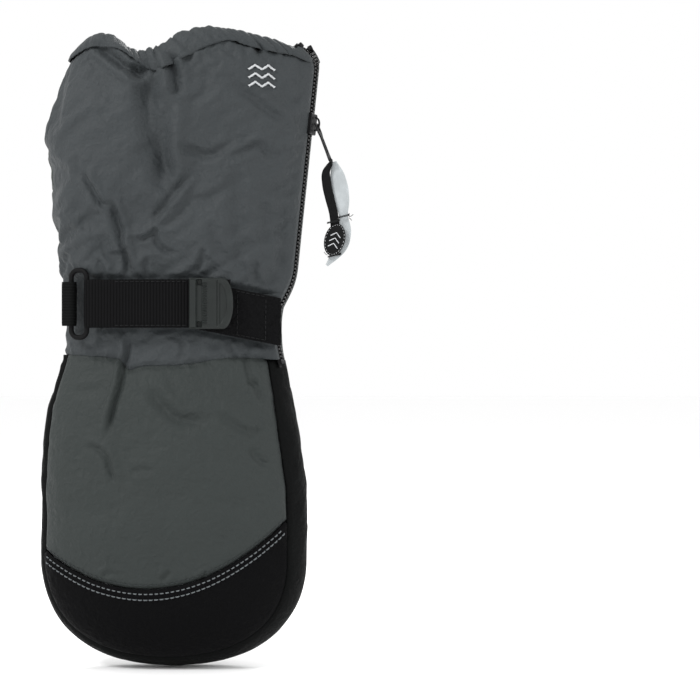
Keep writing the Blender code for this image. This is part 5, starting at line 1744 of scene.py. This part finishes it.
def build_strap_stitches():
    """Box stitching on the loop tape, the seam that holds the base, and rows along the edges of the strap's top."""
    up = np.array((0.0, -1.0, 0.0))

    def row(name, x_from, x_to, z_from, z_to, out, body, slope=0.0):
        x = np.linspace(x_from, x_to, 30)
        plan = np.array([strap_place(value, out) for value in x])
        z = np.linspace(z_from, z_to, 30) + STRAP_Z + slope * np.maximum(0, x - SLOPE_START)
        path = np.stack((plan[:, 0], plan[:, 1], z), axis=-1)
        stitch_piece(name, path, np.tile(up, (30, 1)), 1.9, 0.8, 0.2, THREAD_DARK, body=body, lift=0.1)

    for index, x in enumerate((34.0, 48.0)):
        row(f"loop_tape_stitch_{index}", x, x + 0.3, -11.5, 11.5, LOOP_TAPE[1], ROOT, slope=STRAP_SLOPE)
    for index, z in enumerate((-11.3, 11.3)):
        row(f"loop_edge_stitch_{index}", 33.0, 49.0, z, z, LOOP_TAPE[1] + 0.1, ROOT, slope=STRAP_SLOPE)
        row(f"strap_edge_stitch_{index}", -28.0, 9.0, z, z, STRAP_TOP[1] + 0.05, "strap")


# ---- Zip tag ----
TAG_SWING, TAG_TURN = math.radians(28), math.radians(-70)


def tag_frame():
    """The tag's hanging point and its directions: across its face, up and out of it."""
    place, across, along, out = zip_frame(np.array(SLIDER_Z))
    pivot = place + out * 3.9
    hang = pivot + 22.0 * (-along * math.cos(TAG_SWING) + out * math.sin(TAG_SWING))
    up = np.array((0.0, 0.0, 1.0))
    up = unit(up - across * (up @ across))
    third = np.cross(across, up)
    face_x = math.cos(TAG_TURN) * across - math.sin(TAG_TURN) * third
    face_out = math.sin(TAG_TURN) * across + math.cos(TAG_TURN) * third
    return hang, face_x, up, face_out


def tag_strip_form(name, centre, widths, thickness, out_at, material, replaces, ripple):
    """A flat ribbon along a curved line on the tag, with a width at each step."""
    hang, right, up, out = tag_frame()
    line = resample(curve_through(centre, 80), 110)
    share = np.linspace(0, 1, len(line))
    wide = np.interp(share, np.linspace(0, 1, len(widths)), widths)
    wide = np.convolve(np.pad(wide, 4, mode="edge"), np.ones(9) / 9, mode="valid")
    across = np.sin(np.linspace(-math.pi / 2, math.pi / 2, 15))
    round_off = np.sqrt(np.maximum(1 - across**8, 0))
    columns = np.concatenate((across, across[::-1]))
    lift = np.concatenate((round_off, -round_off)) * thickness / 2
    reach = columns[None, :] * wide[:, None] / 2
    flat = line[:, None] + path_sides(line)[:, None] * reach[..., None]
    bend = ripple * np.sin(share * 7.0)[:, None] * (1 - columns[None] ** 2)
    depth = out_at(share)[:, None] + lift[None] + bend
    points = hang + flat[..., :1] * right + flat[..., 1:] * up + depth[..., None] * out
    uv = pairs(*np.broadcast_arrays(reach, share[:, None] * 56)) * MM
    return finish_piece(closed_grid(name, points, uv), material, body="tag", replaces=replaces)


RIBBON_LINE = ((0.0, -0.6), (-1.2, -2.4), (-2.6, -6.0), (-2.0, -12.0), (-0.4, -19.0), (1.6, -26.5), (2.6, -33.5))
BACKING_LINE = ((1.4, 0.6), (3.0, -5.0), (4.6, -13.0), (6.4, -24.0), (7.0, -29.0), (7.4, -36.0), (5.6, -43.5),
                (2.2, -49.0), (-1.6, -54.0))
DISC_HALF, DOTS_HALF = (5.4, 8.6), (4.75, 7.9)
DISC_PROFILE = (  # share of the disc's half width, and height
    (0.02, -0.75), (0.9, -0.75), (0.985, -0.55), (1.0, 0.0), (0.985, 0.6), (0.93, 0.85), (0.88, 0.7),
    (0.84, 0.62), (0.4, 0.72), (0.02, 0.75))
CHEVRON = ((-2.6, -1.0), (-1.3, 0.1), (0.0, 1.2), (1.3, 0.1), (2.6, -1.0))
TIE_KNOTS = (  # place on the tag, width and how far behind it
    (6.9, -28.6, 3.0, 0.9), (2.4, -49.2, 3.4, 0.9), (1.6, -31.6, 3.2, -0.2))
TIE_ENDS = (  # place on the tag and reach
    (9.8, -28.3, 2.2, 1.2), (-1.2, -48.6, -1.9, 1.6), (9.6, -28.9, 1.6, -1.4))


def build_tag_ribbons():
    tag_strip_form("tag_ribbon", RIBBON_LINE, (2.4, 4.6, 5.0, 4.8, 4.6, 4.8), 0.9, lambda s: 0.6 * (1 - s),
                   TAPE, ("tag_strip",), ripple=0.25)
    tag_strip_form("tag_reflective_strip", BACKING_LINE, (2.5, 7.6, 9.2, 8.2, 4.2, 7.0, 8.0, 5.4, 1.2), 0.5,
                   lambda s: -1.6 + 0.5 * np.sin(5 * s), REFLECTIVE, ("tag_backing",), ripple=0.5)


def build_tag_disc():
    """The moulded disc, with three chevrons and a ring of short dashes printed on it."""
    hang, right, up, out = tag_frame()
    tilt = math.radians(-14)
    wide_axis = right * math.cos(tilt) + up * math.sin(tilt)
    long_axis = up * math.cos(tilt) - right * math.sin(tilt)
    centre = hang + right * 2.4 - up * 40.6
    turn = np.linspace(0, 2 * math.pi, 72, endpoint=False)
    points = np.array([centre + wide_axis * (DISC_HALF[0] * radius * np.cos(turn))[:, None]
                       + long_axis * (DISC_HALF[1] * radius * np.sin(turn))[:, None] + out * height
                       for radius, height in DISC_PROFILE])
    piece = closed_grid("tag_disc_moulded", points, np.zeros((*points.shape[:2], 2)))
    finish_piece(piece, RUBBER, body="tag", replaces=("tag_disc",))

    form = bmesh.new()
    for index in range(3):
        low = -3.2 + 2.9 * index
        chevron = np.array([(across, low + rise) for across, rise in CHEVRON])
        path = centre + chevron[:, :1] * wide_axis + chevron[:, 1:] * long_axis + out * 0.72
        tube(form, path, np.tile(out, (len(path), 1)), 0.26)
    for angle in np.linspace(0, 2 * math.pi, 26, endpoint=False):
        path = np.array([centre + wide_axis * (DOTS_HALF[0] * math.cos(end)) + long_axis
                         * (DOTS_HALF[1] * math.sin(end)) + out * 0.78 for end in (angle - 0.05, angle + 0.05)])
        tube(form, path, np.tile(out, (len(path), 1)), 0.11)
    finish_piece(mesh_piece("tag_disc_print", form), THREAD_WHITE, body="tag")


def build_tag_ties():
    """Cords knotted round the tag's strips, their loose ends, and the loop that it hangs by."""
    hang, right, up, out = tag_frame()
    form = bmesh.new()
    for u, v, wide, behind in TIE_KNOTS:
        path = np.array([hang + right * (u + wide * math.cos(t)) + up * (v + 0.5 * t / 6 + 0.8 * math.cos(t))
                         + out * (1.3 * math.sin(t) - behind) for t in np.linspace(0, 4 * math.pi, 50)])
        tube(form, path, np.tile(up, (len(path), 1)), 0.22)
    for u, v, du, dv in TIE_ENDS:
        path = np.array([hang + right * (u + du * t) + up * (v + dv * t * t) - out * 0.9 for t in (0, 0.5, 1)])
        tube(form, path, np.tile(out, (len(path), 1)), 0.16)
    path = np.array([hang + right * 0.5 * math.sin(t) + up * 1.6 * math.cos(t) + out * 1.6 * math.sin(t)
                     for t in np.linspace(0, 2 * math.pi, 41)])
    tube(form, path, np.tile(right, (len(path), 1)), 0.45, sides=10, caps=False)
    finish_piece(mesh_piece("tag_ties", form), THREAD_DARK, body="tag")


# ---- Embroidered badge ----
BADGE_CENTRE, BADGE_STEP, BADGE_RISE, BADGE_GAP = np.array((47.0, -20.5)), 3.3, 2.3, 4.4
SATIN_WIDTH, SATIN_STEP = 1.3, 0.17


def build_badge():
    """Three plain zigzag lines, one above the other, in raised satin stitch near the zip's top."""
    form = bmesh.new()
    bars = []
    for row in (-1, 0, 1):
        line = [BADGE_CENTRE + np.array((BADGE_STEP * (k - 2), BADGE_GAP * row + BADGE_RISE * (k % 2 - 0.5)))
                for k in range(5)]
        bars += list(zip(line, line[1:]))
    for start, end in bars:
        length = np.linalg.norm(end - start)
        ahead = (end - start) / length
        side = np.array((-ahead[1], ahead[0]))
        steps = int(length / SATIN_STEP)
        swing = np.where(np.arange(steps) % 2 == 0, 1, -1) * SATIN_WIDTH / 2
        flat = start + np.linspace(0, length, steps)[:, None] * ahead + swing[:, None] * side
        fine = resample(flat, steps * 3)
        thread, outward = surface_path(fine, -1)
        off_middle = np.abs((fine - start) @ side) / (SATIN_WIDTH / 2)
        thread = thread + outward * (0.55 + 0.35 * (1 - np.minimum(off_middle, 1) ** 2))[:, None]
        tube(form, thread, outward, 0.17, sides=5)
    finish_piece(mesh_piece("badge_zigzags", form), THREAD_WHITE)


# ---- Camera, floor and light ----
LIGHT_AIM = (0, 0, -0.16)
PALE = (0.985, 0.985, 0.985, 1)
FLOOR_HALF = 6
FLOOR_DROP = 0.001  # below the model's lowest point


def build_stage():
    camera_data = bpy.data.cameras.new("camera")
    camera_data.lens = 100
    camera_data.sensor_width = 36
    camera_data.clip_end = 20
    camera = bpy.data.objects.new("camera", camera_data)
    camera.location = (0.0930, -1.0306, -0.1620)
    camera.rotation_euler = (math.pi / 2, 0, 0)
    bpy.context.scene.collection.objects.link(camera)
    bpy.context.scene.camera = camera

    form = bmesh.new()
    bmesh.ops.create_grid(form, x_segments=2, y_segments=2, size=FLOOR_HALF)
    bmesh.ops.translate(form, vec=(0, 0, cad_box[0][2] - FLOOR_DROP), verts=form.verts)
    floor = mesh_piece("floor", form, smooth=False)
    nodes = Nodes("pale_floor")
    floor.data.materials.append(nodes.finish(PALE, 0.95))

    world = bpy.data.worlds.new("studio")
    world.use_nodes = True
    world.node_tree.nodes["Background"].inputs["Color"].default_value = (1, 1, 1, 1)
    world.node_tree.nodes["Background"].inputs["Strength"].default_value = 1.0
    bpy.context.scene.world = world

    def light(name, place, size, power):
        data = bpy.data.lights.new(name, "AREA")
        data.shape = "DISK"
        data.size = size
        data.energy = power
        lamp = add_object(name, data)
        lamp.location = place
        lamp.rotation_euler = (Vector(LIGHT_AIM) - Vector(place)).to_track_quat("-Z", "Y").to_euler()

    light("key", (-0.8, -0.75, 0.75), 0.35, 13.0)
    light("side", (1.1, -0.5, 0.3), 0.5, 4.0)
    light("rim", (0.3, 1.1, 0.8), 0.6, 12.0)
    scene = bpy.context.scene
    scene.view_settings.view_transform = "Standard"
    scene.view_settings.look = "None"


SLACK_FIELD = settle_fabric()
build_cuff_panels()
build_hem()
build_hem_elastic()
build_wrist_elastic()
build_side_gusset()
build_hand_panels()
build_inside()
build_cuff_lining()
build_thumb()
build_zip()
build_kept()
build_strap()
build_strap_stitches()
build_tag_ribbons()
build_tag_disc()
build_tag_ties()
build_badge()
build_seam_stitches()
build_stage()
